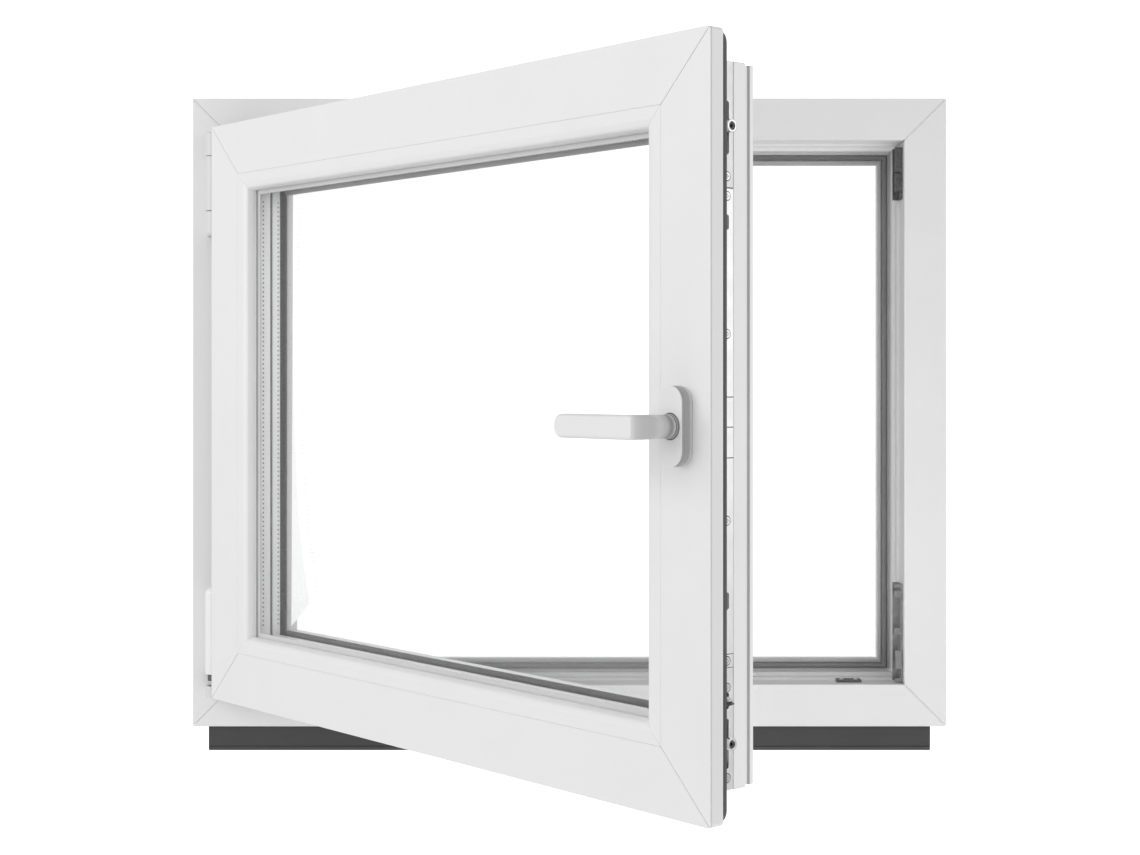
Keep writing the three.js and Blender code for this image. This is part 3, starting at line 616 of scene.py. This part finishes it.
def build_frame():
    names = {"bottom": "sill", "top": "head", "left": "jamb_hinge", "right": "jamb_lock"}
    for side, part in names.items():
        solid = bar_solid(FRAME_SECTION, FRAME_CHAMBERS, side_length(side, FRAME), FRAME_WELD)
        # The rebate faces get painted shade, or painted light on the head.
        paint(solid, in_rebate)
        piece(f"frame_{part}_profile", solid, side_matrix(side, FRAME), FRAME_WHITE, "frame",
              [f"frame_{part}"],
              second=HEAD_REBATE_PAINTED_LIGHT if side == "top" else FRAME_REBATE_PAINTED_SHADE)
    bulb = ring_solid(STOP_BULB, FRAME, 0.7, 4)
    piece("frame_seal_bulb", bulb, FIXED, SEAL_BULB, "frame", ["frame_gasket"])
    lip = ring_solid(STOP_LIP, FRAME, 0.7, 4)
    piece("frame_seal_lip", lip, FIXED, SEAL_MID, "frame")


SAWN_END = (0.2, 0.15, 0.0)  # a bar's end without a weld, given as one: just a small chamfer


def build_sill_profile():
    low, high = box_mm("sill_connection_profile")
    front, rear, top = low[1], high[1], high[2]
    section = [
        (0, front + 1.6), (3.4, front), (4.2, front, 0.1), (4.7, front + 0.7, 0.1),
        (5.5, front + 0.7, 0.1), (6.0, front, 0.1), (top, front), (top, 2), (26, 2), (26, 8),
        (top, 8), (top, rear), (0, rear), (0, 18), (3, 18), (3, 10), (0, 10),
    ]
    chambers = [
        [(7, front + 3), (23, front + 3), (23, 4), (7, 4)],
        [(7, 7.1), (23, 7.1), (23, 25), (7, 25)],
    ]
    solid = bar_solid(section, chambers, high[0] - low[0], SAWN_END, mitred=False)
    piece("sill_profile", solid, FIXED, SILL_GREY, "frame", ["sill_connection_profile"])


# ------ sash
SASH_EDGE, BEAD_SEAM, SASH_VIEW = 22, 60, 82  # u behind the overlap, at the bead, at the glass
LEG_BACK = -39  # y of the overlap's rear
SEAM = BEAD_SEAM - 0.12  # where the sash's face stops, short of the bead
SASH_CORNER = 4.0  # rounding of the sash's outer corners
SASH_SECTION = [
    # the face, the seat of the bead and the leg behind the glass
    (0, SASH_FRONT, 0.9), (SEAM, SASH_FRONT, 0.1), (SEAM, -45), (57, -45), (57, -41),
    (BEAD_SEAM, -41), (BEAD_SEAM, 5), (SASH_VIEW, 5, 0.8), (84.2, 7.5, 0.8), (84.2, 16.5, 1.2),
    (80, 19, 1.2), (56, SASH_REAR, 1.0), (23, SASH_REAR, 1.0),
    # the edge, with the rear groove, given a grey strip of painted shade, and the hardware groove
    (23, 17.4, 0.5), (25.5, 17.4), (25.5, 15.6), (24, 15.6, 0.5), (24, 12.4, 1.0),
    (SASH_EDGE, 10.6, 1.0), (SASH_EDGE, -4), (25, -4), (25, -6), (34, -6), (34, -18), (25, -18),
    (25, -20), (SASH_EDGE, -20), (SASH_EDGE, LEG_BACK),
    # the overlap, with the seat of its seal and a fine line round its outer side
    (9, LEG_BACK), (9, -42), (6, -42), (6, LEG_BACK), (0, LEG_BACK, 1.0), (0, -52.9, 0.1),
    (0.7, -53.1, 0.1), (0.7, -53.8, 0.1), (0, -54.0, 0.1),
]
SASH_CHAMBERS = [
    [(3, -52), (22, -52), (22, -45), (3, -45)],
    [(25, -51.8), (54, -51.8), (54, -44), (25, -44)],
    [(25.3, -40.7), (33.8, -40.7), (33.8, -22.5), (25.3, -22.5)],
    [(37, -37), (57, -37), (57, 7.2), (37, 7.2)],
    [(28.6, 10.2), (54, 10.2), (54, 18.7), (28.6, 18.7)],
    [(61, 8.3), (77, 8.3), (77, 12.2), (61, 12.2)],
]
SASH_WELD = (0.12, 0.3, 0.24)
BEAD_SECTION = [
    (60.03, SASH_FRONT, 0.1), (71, SASH_FRONT, 6.0), (77.6, -53.2, 5.0), (80, -47, 3.0),
    (80, -42, 0.6), (60.3, -42), (60.3, -41.4), (57.4, -41.4), (57.4, -44.6), (60.3, -44.6),
]
BEAD_MITRE = (0.05, 0.1, 0.05)
BEAD_SEAL = [
    (75, -41.7), (78, -41.7), (78, -40.7), (80.4, -40.7), (84.2, -40.2, 0.6),
    (84.8, -39.5, 0.4), (83.4, -38.6), (75, -38.6),
]
OUTER_SEAL = [(74, 2), (82.2, 2), (84.8, 2.6, 0.6), (84.4, 4), (82, 4.7), (74, 4.7)]
OVERLAP_SEAL = [
    (6.4, -41.7), (8.6, -41.7), (8.6, -38.7), (12, -38.7), (12, -36.6, 1.2), (10, -35.1, 1.2),
    (-0.2, -35.1, 0.4), (-0.2, -38.5, 0.1), (6.4, -38.5, 0),
]
OVERLAP_BEND = 13.0  # the overlap seal goes round the corners in a curve
# Painted shade: a grey strip laid in the rear groove to darken its line.
REAR_GROOVE_SHADE_STRIP = [(23.4, 15.75), (25.4, 15.75), (25.4, 17.25), (23.4, 17.25)]
SIGHT_LINE = 86  # everything round the glass is nearer to the sash's outer edge than this


def sash_edge(face):
    """The sash's faces behind the overlap, round the hardware groove. On the lock stile they are
    given painted light.
    """
    middle = face.calc_center_median()
    return middle.y > LEG_BACK + 1 and middle.z < SASH_EDGE + 2 and along_bar(face)


def top_run(face):
    """The faces of a ring round the glass that belong to its top side. Dark seals are painted pale
    there: painted light.
    """
    return face.calc_center_median().z > SASH["top"] - SIGHT_LINE


def build_sash():
    sides = {
        "bottom": ("rail_bottom", "bead_bottom"), "top": ("rail_top", "bead_top"),
        "left": ("stile_hinge", "bead_hinge"), "right": ("stile_lock", "bead_lock"),
    }
    for side, (part, bead) in sides.items():
        place = OPENED @ side_matrix(side, SASH)
        length = side_length(side, SASH)
        solid = bar_solid(SASH_SECTION, SASH_CHAMBERS, length, SASH_WELD, SASH_CORNER)
        # The lock stile's edge gets painted light.
        edge = SASH_EDGE_PAINTED_LIGHT if side == "right" else None
        if edge:
            paint(solid, sash_edge)
        piece(f"sash_{part}_profile", solid, place, SASH_WHITE, "sash",
              [f"sash_{part}"], second=edge)
        strip = bar_solid(BEAD_SECTION, [], length, BEAD_MITRE)
        piece(f"{bead}_strip", strip, place, SASH_WHITE, "sash", [bead])
    bead_seal = ring_solid(BEAD_SEAL, SASH, 0.4, 4)
    piece("bead_seal", bead_seal, OPENED, SEAL_LIGHT, "sash", ["bead_gasket"])
    outer_seal = ring_solid(OUTER_SEAL, SASH, 0.4, 4)
    # The outer seal's top run is painted pale: painted light.
    paint(outer_seal, top_run)
    piece("outer_glazing_seal", outer_seal, OPENED, SEAL_DARK, "sash",
          ["outer_glazing_gasket"], second=SEAL_PALE)
    overlap_seal = ring_solid(OVERLAP_SEAL, SASH, 0.4, 4, OVERLAP_BEND)
    piece("overlap_seal", overlap_seal, OPENED, SEAL_DARK, "sash", ["overlap_gasket"])
    # A grey strip in the rear groove: painted shade.
    piece("rear_groove_painted_shade", ring_solid(REAR_GROOVE_SHADE_STRIP, SASH), OPENED, SEAL_MID, "sash")


# ------ glazing
PANE, PANE_GAP = 4, 14  # a pane's thickness, and the gap between two
GLASS_REAR = 1.7  # y of the outer pane's rear face
GLASS_EDGE = 65  # of the panes, inwards from the sash's outer edge
GLASS_CLEAR = 0.3  # between the glass and the seal of a spacer
SPACER_BACK, SPACER_FACE = 72.5, 79.5  # the spacer bar, inwards from the sash's outer edge
# Each spacer's row of vents, from its front, and the depth of butyl seen behind it.
SPACERS = {"spacer_outer": (7.6, 3.2), "spacer_room": (3.5, 0.2)}
VENT_PITCH, VENT_RADIUS = 5.2, 0.85
VENT_LIFT = 0.03  # so that a vent is seen in front of the bar it lies on
VENT_END = 8  # from the last vent to the corner


def build_glazing():
    soften(["glass_room", "glass_middle", "glass_outer"], GLASS, 0.4)
    for i, (node, (vent, butyl)) in enumerate(SPACERS.items()):
        seat = GLASS_REAR - PANE - GLASS_CLEAR - i * (PANE + PANE_GAP)
        front = seat - PANE_GAP + 0.5
        rear = seat - butyl
        shoulder = SPACER_FACE - 0.5
        bar = [(SPACER_BACK, front, 1), (shoulder, front), (SPACER_FACE, front + 0.5),
               (SPACER_FACE, rear - 0.5), (shoulder, rear), (SPACER_BACK, rear, 1)]
        piece(f"{node}_bar", ring_solid(bar, SASH), OPENED, ALUMINIUM, "sash",
              [node])
        # The vents are dark discs: painted shade in the holes.
        vents = spacer_vents(SPACER_FACE + VENT_LIFT, front + vent)
        piece(f"{node}_vents", vents, OPENED, HOLE_PAINTED_SHADE, "sash", weighted=False)
        back, step, face = GLASS_EDGE + 0.4, SPACER_BACK - 0.1, SPACER_FACE - 0.6
        edge = ring_solid([(back, front), (step, front), (step, rear + 0.1), (face, rear + 0.1),
                           (face, seat), (back, seat)], SASH)
        # The edge seal is pale on its top run, which is painted light, and in front of the butyl.
        paint(edge, lambda face: top_run(face) or face.calc_center_median().y < rear)
        piece(f"{node}_edge_seal", edge, OPENED, BUTYL, "sash", second=SEAL_PALE)


def spacer_vents(u, y):
    """A row of small round vents along each side of a spacer frame, drawn as flat discs of painted
    shade.
    """
    bm = bmesh.new()
    mid_x = (SASH["right"] + SASH["left"]) / 2
    mid_z = (SASH["top"] + SASH["bottom"]) / 2
    half_x = SASH["right"] - mid_x - u
    half_z = SASH["top"] - mid_z - u
    for half, away, upright in ((half_x, half_z, False), (half_z, half_x, True)):
        count = int((half - VENT_END) / VENT_PITCH)
        for way in (-1, 1):
            for k in range(-count, count + 1):
                ring = circle(VENT_RADIUS, 8, k * VENT_PITCH, y)
                places = [(way * away, p[1], p[0]) if upright else (p[0], p[1], way * away)
                          for p in ring]
                bm.faces.new([bm.verts.new((x + mid_x, y1, z + mid_z)) for x, y1, z in places])
    return bm


# ------ hinge side
BARREL = 9.8  # radius of the hinges' covers
# Heights on the window.
TOP_HINGE = {"cap": 614, "bearing": 644, "knuckle": 709, "end": 736}
BOTTOM_HINGE = {"base": SASH["bottom"] + 0.3, "bearing": 81, "cover": 95, "top": 198}
COVER_BACK = FRAME_FRONT - 0.3
COVER_STEPS = 24  # round the front of a cover
JOINT = 0.35  # half of the line between two hinge parts
CAP_ROUND, CAP_STEPS = 5, 6  # the top hinge's rounded lower end
PIN_HOLE = 6.4  # radius of the hole that the lower pin stands in
AT_HINGE = Matrix.Translation((HINGE.x * MM, HINGE.y * MM, 0))


def cover_outline():
    """A fixed hinge cover seen from above, about the hinge axis: round in front, flat behind."""
    back = COVER_BACK - HINGE.y
    angles = (-math.pi * k / COVER_STEPS for k in range(COVER_STEPS + 1))
    front = [(BARREL * math.cos(a), BARREL * math.sin(a), 0) for a in angles]
    return counter_clockwise(rounded([(-BARREL, back, 0.6), (BARREL, back, 0.6)] + front))


def dome(radius, z0, z1, rise, steps=8):
    """A round post's profile with a small lower edge and a domed top."""
    top = [(radius * math.cos(a), z1 - rise + rise * math.sin(a))
           for a in (math.pi / 2 * k / steps for k in range(steps))]
    return [(0, z0), (radius - 0.5, z0), (radius, z0 + 0.5)] + top + [(0, z1)]


def build_hinges():
    def fitting(name, solid, body, replaces=(), place=AT_HINGE, material=FITTING_WHITE):
        piece(name, solid, place, material, body, replaces)

    bearing_z, knuckle_z = TOP_HINGE["bearing"], TOP_HINGE["knuckle"]
    sleeve = swept(cover_outline(), [], edge_stations(bearing_z + JOINT, knuckle_z - JOINT, 0.5))
    fitting("top_hinge_sleeve", sleeve, "frame", ["top_hinge_cover"])
    stations = [(TOP_HINGE["cap"] + CAP_ROUND * (1 - math.cos(a)), CAP_ROUND * (1 - math.sin(a)))
                for a in (math.pi / 2 * k / CAP_STEPS for k in range(CAP_STEPS + 1))]
    stations += [(bearing_z - JOINT - 0.5, 0.0), (bearing_z - JOINT, 0.5)]
    end = swept(cover_outline(), [], stations)
    fitting("top_hinge_end", end, "frame", ["top_hinge_cap"])
    knuckle = turned_solid(dome(BARREL, knuckle_z + JOINT, TOP_HINGE["end"] + 3, 5))
    fitting("stay_hinge_cover", knuckle, "stay")
    stations = edge_stations(BOTTOM_HINGE["base"], BOTTOM_HINGE["bearing"], 0.6)
    block = swept(cover_outline(), [circle(PIN_HOLE)], stations,
                  hole_stations=[(stations[0][0], 0), (stations[-1][0], 0)])
    fitting("bottom_hinge_block", block, "frame", ["bottom_hinge_bearing"])
    cover = turned_solid(dome(BARREL, BOTTOM_HINGE["cover"], BOTTOM_HINGE["top"], 8))
    fitting("corner_band_sleeve", cover, "sash", ["corner_band_cover"], OPENED @ AT_HINGE,
            SLEEVE_WHITE)


# ------ locking hardware
# Seat and face are inwards from the sash's edge.
PLATE = {"y0": GROOVE_CENTRE - 7.6, "y1": GROOVE_CENTRE + 7.6, "seat": 24.7, "face": 22.2}
PLATE_X = {"seat": SASH["right"] - PLATE["seat"], "face": SASH["right"] - PLATE["face"]}
GEARBOX_WIDER = 0.35  # the gearbox's plate reaches this much further back
CORNER_GAP = 0.6  # from a level plate's end to the face of the upright one
# Heights above the sash's lower edge.
CAMS = {"roller_cam_top": 595, "roller_cam_bottom": 63}
GUARD = 99
PLATE_SCREWS = (552, 535, 416, 255, 134, 111, 33)
# Places along X.
TOP_PLATE_SCREWS = (278, 330, -300, -150, 90)
BOTTOM_PLATE_SCREWS = (296, 340)
RIM, RIM_HOLE = 4.3, 3.65  # radii of the painted shade line round a screw's head
SOCKET, PIN, BORE, ROLLER = 1.9, 3.3, 3.5, 5.7  # radii of a roller cam's parts
ROLLER_FACE = 15.8  # inwards from the sash's edge
GUARD_HALF = 2.3  # half the guard lever's thickness


def height(v):
    """A height above the sash's lower edge, as a height on the window."""
    return SASH["bottom"] + v


def upright_plate(v0, v1, slots=(), wider=0.0):
    """A length of faceplate on the lock stile, with slots given as (from, to, width)."""
    outline = oblong(PLATE["y0"], PLATE["y1"] + wider, height(v0), height(v1), 0.5, 2)
    holes = [oblong(GROOVE_CENTRE - width / 2, GROOVE_CENTRE + width / 2, height(a), height(b),
                    width / 2) for a, b, width in slots]
    stations = edge_stations(PLATE_X["seat"], PLATE_X["face"], 0.3, both=False, steps=2)
    return swept(outline, holes, stations, lambda p, x: (x, p[0], p[1]))


def level_plate(x0, x1, at_top, slots=()):
    """A length of faceplate on the top or bottom rail."""
    outline = oblong(x0, x1, PLATE["y0"], PLATE["y1"], 0.5, 2)
    holes = [oblong(a, b, GROOVE_CENTRE - width / 2, GROOVE_CENTRE + width / 2, width / 2)
             for a, b, width in slots]
    levels = (SASH["top"] - PLATE["seat"], SASH["top"] - PLATE["face"])
    if not at_top:
        levels = (SASH["bottom"] + PLATE["seat"], SASH["bottom"] + PLATE["face"])
    return swept(outline, holes, edge_stations(*levels, 0.3, both=False, steps=2))


def build_faceplates():
    middle = merged([
        upright_plate(140.0, 308.7, [(178, 193, 5)], GEARBOX_WIDER),
        upright_plate(309.3, 335.2, (), GEARBOX_WIDER),
        upright_plate(335.8, 361.2, (), GEARBOX_WIDER),
        upright_plate(361.8, 541.6, [(506, 519, 5)], GEARBOX_WIDER),
    ])
    piece("gearbox_faceplate", middle, OPENED, ZINC, "sash", ["faceplate_gearbox"])
    corner_x = PLATE_X["face"] - CORNER_GAP
    top = merged([
        upright_plate(542.4, 651.6, [(571, 617, 5)]),
        level_plate(230, corner_x, True, [(244, 262, 5)]),
    ])
    # The top corner drive's darker zinc is painted shade.
    piece("top_corner_drive", top, OPENED, ZINC_PAINTED_SHADE, "sash", ["corner_drive_top"])
    bottom = merged([
        upright_plate(22.6, 127.8, [(41, 84, 4.2), (92.5, 106.5, 5)]),
        upright_plate(128.3, 139.4),
        level_plate(250, corner_x, False, [(262, 280, 5)]),
    ])
    piece("bottom_corner_drive", bottom, OPENED, ZINC, "sash",
          ["corner_drive_bottom"])


def build_plate_screws():
    face_x = PLATE_X["face"]
    heads = [moved(screw(3.6, 0.5), face_x + 0.05, GROOVE_CENTRE, height(v), "right")
             for v in PLATE_SCREWS]
    # The rings are painted shade round the screw heads.
    rims = [moved(swept(circle(RIM), [circle(RIM_HOLE)], [(0.02, 0), (0.12, 0)]),
                  face_x, GROOVE_CENTRE, height(v), "right") for v in PLATE_SCREWS]
    piece("screw_rim_painted_shade", merged(rims), OPENED, HOLE_PAINTED_SHADE, "sash", weighted=False)
    top_level, bottom_level = SASH["top"] - PLATE["face"], SASH["bottom"] + PLATE["face"]
    heads += [moved(screw(3.2, 0.9), x, GROOVE_CENTRE, top_level, "up")
              for x in TOP_PLATE_SCREWS]
    heads += [moved(screw(3.2, 0.9), x, GROOVE_CENTRE, bottom_level, "down")
              for x in BOTTOM_PLATE_SCREWS]
    piece("faceplate_screws", merged(heads), OPENED, STEEL_BRIGHT, "sash")


def build_cams():
    reach = SASH["right"] - ROLLER_FACE - PLATE_X["face"]
    for name, v in CAMS.items():
        ring = swept(circle(ROLLER, 32), [circle(BORE, 32)], edge_stations(0.7, reach, 0.6))
        socket = rounded(circle(SOCKET, 6), 0.3, 2)
        core = swept(circle(PIN, 32), [socket], edge_stations(0.4, reach - 0.9, 0.4))
        for solid, part, material in ((ring, "roller", STEEL_BRIGHT), (core, "pin", CAST)):
            moved(solid, PLATE_X["face"], GROOVE_CENTRE, height(v), "right")
            piece(f"{name}_{part}", solid, OPENED, material, "lock_slide",
                  [name] if part == "roller" else [])


def build_kept_hardware():
    """CAD nodes whose shape is right, with softer edges and the finish of their metal."""
    soften(["stay_arm", "stay_guide", "top_hinge_bearing"], ZINC, 0.4)
    soften(["corner_band"], CAST, 0.4)
    soften(["top_hinge_pin", "pivot_pin", "pivot_swivel", "handle_spindle"], STEEL_BRIGHT, 0.3)
    soften(["gearbox_case", "gearbox_follower", "lock_rod", "stay_rod"], GALVANISED, 0.2)
    steels = [f"frame_steel_{part}" for part in ("sill", "head", "hinge", "lock")]
    steels += [f"sash_steel_{part}" for part in ("bottom", "top", "hinge", "lock")]
    soften(steels, GALVANISED, 0.3)
    soften(["striker_top", "sill_keep"], CAST, 0.5)
    soften(["tilt_keep"], KEEP_ZINC, 0.4)
    soften(["setting_block_hinge", "setting_block_lock"], RUBBER_BLOCK, 0.4)


def build_guard_lever():
    """A dark wedge with a bright blade above it, standing out through the plate's upper slot.
    Both are drawn from the side, as heights above and below the lever's own."""
    x = PLATE_X["face"]
    wedge = [(x - 2.2, -4.6), (x - 0.6, -4.6), (x + 6.8, -1.8, 0.4), (x + 6.8, -0.4, 0.4),
             (x - 2.2, 0.8)]
    blade = [(x - 2.2, 1.0), (x + 4.2, 0.2, 0.3), (x + 5.2, 1.2, 0.5), (x + 1.0, 4.4, 0.8),
             (x - 2.2, 4.4)]
    stations = edge_stations(GROOVE_CENTRE - GUARD_HALF, GROOVE_CENTRE + GUARD_HALF, 0.3)
    middle = height(GUARD)
    for name, section, material in (("wedge", wedge, CAST), ("blade", blade, STEEL_BRIGHT)):
        solid = swept(rounded(section, 0.2, 3), [], stations,
                      lambda p, y: (p[0], y, p[1] + middle))
        piece(f"guard_lever_{name}", solid, OPENED, material, "guard",
              ["guard_lever"] if name == "wedge" else [])


KEEP_THICK, SILL_KEEP_THICK = 1.4, 3  # of the keeps' plates, under their screws
KEEP_SCREWS = (698, 713, 91, 186)  # heights on the lock jamb
SILL_KEEP_SCREWS = (328, 345)  # places along the sill


def build_keep_screws():
    seat = FRAME["right"] - FRAME_LEG - KEEP_THICK
    heads = [moved(screw(3.0, 0.8), seat, GROOVE_CENTRE, z, "left") for z in KEEP_SCREWS]
    piece("keep_screws", merged(heads), FIXED, STEEL_BRIGHT, "frame")
    top = FRAME["bottom"] + FRAME_LEG + SILL_KEEP_THICK
    heads = [moved(screw(2.6, 0.8), x, GROOVE_CENTRE - 0.5, top, "up") for x in SILL_KEEP_SCREWS]
    piece("sill_keep_screws", merged(heads), FIXED, STEEL_BRIGHT, "frame")


# ------ handle
ROSETTE = {"half_width": 14, "half_height": 34.5, "thick": 13}
ROSETTE_BACK = SASH_FRONT - 0.3
ROSETTE_FRONT = ROSETTE_BACK - ROSETTE["thick"]
PARTING = ROSETTE["thick"] - 3.6  # height of the line between the rosette's cover and its base
NECK, COLLAR, COLLAR_STEP = 10.0, 10.8, 9.2  # radii
GRIP = {"front": -123.0, "rear": -109.0, "half_height": 10.3, "tip": -88.8}
GRIP_EDGE = 3.4  # rounding along the grip
NOSE, NOSE_THINNER = 8.5, 2.4  # rounding of the grip's end, and how much thinner it gets there
NECK_STEPS = NOSE_STEPS = 8
SQUARE_FROM = 0.25  # the share of the neck that stays round
AT_HANDLE = OPENED @ Matrix.Translation((HANDLE_X * MM, 0, HANDLE_Z * MM))


def soft_rectangle(half_width, half_height, radius, steps=6):
    """A rounded rectangle that keeps its number of points whatever its sizes. The radius stays
    just under the half width of a round one, so that no two points fall together."""
    points = []
    for sx, sy, start in ((1, 1, 0), (-1, 1, 1), (-1, -1, 2), (1, -1, 3)):
        for k in range(steps + 1):
            a = math.pi / 2 * (start + k / steps)
            points.append((sx * (half_width - radius) + radius * math.cos(a),
                           sy * (half_height - radius) + radius * math.sin(a)))
    return points


def ease(t):
    """From 0 to 1, slow at both ends."""
    t = min(1.0, max(0.0, t))
    return t * t * (3 - 2 * t)


def build_rosette():
    half, high, thick = ROSETTE["half_width"], ROSETTE["half_height"], ROSETTE["thick"]
    outline = counter_clockwise([Vector(p) for p in soft_rectangle(half, high, half - 0.01, 12)])
    stations = [(0, 0.3), (0.3, 0), (PARTING - 0.2, 0), (PARTING, 0.25), (PARTING + 0.3, 0.25),
                (PARTING + 0.5, 0)]
    stations += edge_stations(PARTING + 0.6, thick, 1.0, both=False, steps=5)
    rosette = swept(outline, [circle(COLLAR + 0.7, 48)], stations,
                    hole_stations=[(0, 0), (thick - 0.4, 0), (thick, 0.4)])
    moved(rosette, 0, ROSETTE_BACK, 0, "room")
    piece("rosette_cover", rosette, AT_HANDLE, ROSETTE_PAINTED_SHADE, "sash",
          ["handle_rosette"])


def neck_rings():
    """Rings from the foot of the neck to where it meets the grip, from round to square."""
    start = ROSETTE_FRONT - 2.2
    rings = []
    for y, less in ((start, 0.5), (start - 0.25, 0.15), (start - 0.6, 0.0)):
        round_ring = soft_rectangle(NECK - less, NECK - less, NECK - less - 0.01)
        rings.append([(x, y, z) for x, z in round_ring])
    fullest = GRIP["rear"] + 3
    for k in range(1, NECK_STEPS + 1):
        y = start - 0.6 + (fullest - start + 0.6) * k / NECK_STEPS
        square = ease((k / NECK_STEPS - SQUARE_FROM) / (1 - SQUARE_FROM))
        radius = NECK + (GRIP_EDGE - NECK) * square
        tall = NECK + (GRIP["half_height"] - NECK) * square
        rings.append([(x, y, z) for x, z in soft_rectangle(NECK, tall, radius - 0.01)])
    return rings


def grip_rings():
    """Rings from the elbow, mitred between neck and grip, to the grip's rounded end."""
    tall = GRIP["half_height"]
    half = (GRIP["rear"] - GRIP["front"]) / 2
    middle = (GRIP["rear"] + GRIP["front"]) / 2
    elbow = soft_rectangle(NECK, tall, GRIP_EDGE)
    rings = [[(p, middle - half * p / NECK, z) for p, z in elbow]]
    for x in (-NECK - 0.5, -NECK - 8, GRIP["tip"] / 2):
        rings.append([(x, middle - p, z) for p, z in soft_rectangle(half, tall, GRIP_EDGE)])
    for k in range(NOSE_STEPS + 1):
        a = math.pi / 2 * k / NOSE_STEPS
        high = tall - NOSE * (1 - math.cos(a))
        deep = half - NOSE_THINNER * (1 - math.cos(a)) ** 1.5
        x = GRIP["tip"] + NOSE * (1 - math.sin(a))
        ring = soft_rectangle(deep, high, min(GRIP_EDGE, high - 0.2))
        rings.append([(x, middle - p, z) for p, z in ring])
    return rings


def build_lever():
    lever = lofted(neck_rings() + grip_rings())
    piece("lever_grip", lever, AT_HANDLE, LEVER_PAINTED_SHADE, "handle",
          ["handle_lever"])
    out = -ROSETTE_FRONT
    profile = [(0, out - 9), (COLLAR, out - 9), (COLLAR, out + 0.7), (COLLAR - 0.5, out + 1.2),
               (COLLAR_STEP, out + 1.2), (COLLAR_STEP, out + 2.6), (0, out + 2.6)]
    collar = moved(turned_solid(profile, 56), 0, 0, 0, "room")
    # The collar's dark grey is painted shade.
    piece("lever_collar", collar, AT_HANDLE, COLLAR_PAINTED_SHADE, "handle")


# ------ stage, light and camera
# In metres, as the window stands in its own frame.
FLOOR_REACH, FLOOR_REAR, FLOOR_Z = 14, 2.4, -0.9
# The world is bright in a round field behind the window and dim elsewhere. The field's soft edge
# is where the Y of a direction, -1 to 1, lies between these.
FIELD_FROM, FIELD_TO = 0.84, 0.90
DIM, BRIGHT = 0.58, 1.34
# Name, place, aim, size and watts.
LAMPS = [
    ("key", (-2.4, -1.6, 1.2), (0, 0, 0.4), (2.6, 2.4), 37),
    ("fill", (2.2, -1.4, 0.9), (0, 0, 0.4), (1.6, 2.0), 14),
    ("bounce", (0.3, -0.7, -0.8), (0.2, 0.0, 0.6), (1.4, 0.8), 4.2),
]
CAMERA_PLACE = (0.0007, -2.2004, 0.4459)
CAMERA_SENSOR, CAMERA_LENS = 36, 57.28  # in millimetres
CAMERA_SHIFT = -0.0433  # the camera looks level, with its frame shifted down


def build_stage():
    floor = bmesh.new()
    places = [(-FLOOR_REACH, -FLOOR_REACH, FLOOR_Z), (FLOOR_REACH, -FLOOR_REACH, FLOOR_Z),
              (FLOOR_REACH, FLOOR_REAR, FLOOR_Z), (-FLOOR_REACH, FLOOR_REAR, FLOOR_Z)]
    floor.faces.new([floor.verts.new(place) for place in places])
    mesh = mesh_of("floor", floor)
    pale = surface("floor_pale", 0.78, 0.8, (0.7, 0.8), patch=2.0, grain=60.0)
    mesh.materials.append(pale)
    obj = add_object("floor", mesh)


def area_light(name, place, aim, size, power):
    lamp = bpy.data.lights.new(name, "AREA")
    lamp.shape = "RECTANGLE"
    lamp.size, lamp.size_y = size
    lamp.energy = power
    obj = add_object(name, lamp)
    obj.location = place
    obj.rotation_euler = (Vector(aim) - Vector(place)).to_track_quat("-Z", "Y").to_euler()


def build_light():
    """White studio: a bright field behind the window, dimmer all round, with a key from the upper
    left, a weaker fill from the right and a faint bounce from below."""
    world = bpy.data.worlds.new("studio")
    bpy.context.scene.world = world
    world.use_nodes = True
    nodes, links = world.node_tree.nodes, world.node_tree.links
    where = add_node(nodes, "TexCoord")
    split = add_node(nodes, "SeparateXYZ")
    ramp = add_node(nodes, "MapRange", From_Min=FIELD_FROM, From_Max=FIELD_TO, To_Min=DIM,
                    To_Max=BRIGHT)
    links.new(where.outputs["Generated"], split.inputs["Vector"])
    links.new(split.outputs["Y"], ramp.inputs["Value"])
    links.new(ramp.outputs["Result"], nodes["Background"].inputs["Strength"])
    set_inputs(nodes["Background"], {"Color": grey(1)})
    for lamp in LAMPS:
        area_light(*lamp)


def build_camera():
    camera = bpy.data.cameras.new("camera")
    camera.sensor_width = CAMERA_SENSOR
    camera.lens = CAMERA_LENS
    camera.shift_y = CAMERA_SHIFT
    obj = add_object("camera", camera)
    obj.location = CAMERA_PLACE
    obj.rotation_euler = (math.pi / 2, 0, 0)
    bpy.context.scene.camera = obj
    bpy.context.scene.view_settings.view_transform = "Standard"


build_camera()
build_stage()
build_light()
build_frame()
build_sill_profile()
build_sash()
build_glazing()
build_hinges()
build_faceplates()
build_plate_screws()
build_cams()
build_guard_lever()
build_kept_hardware()
build_keep_screws()
build_rosette()
build_lever()
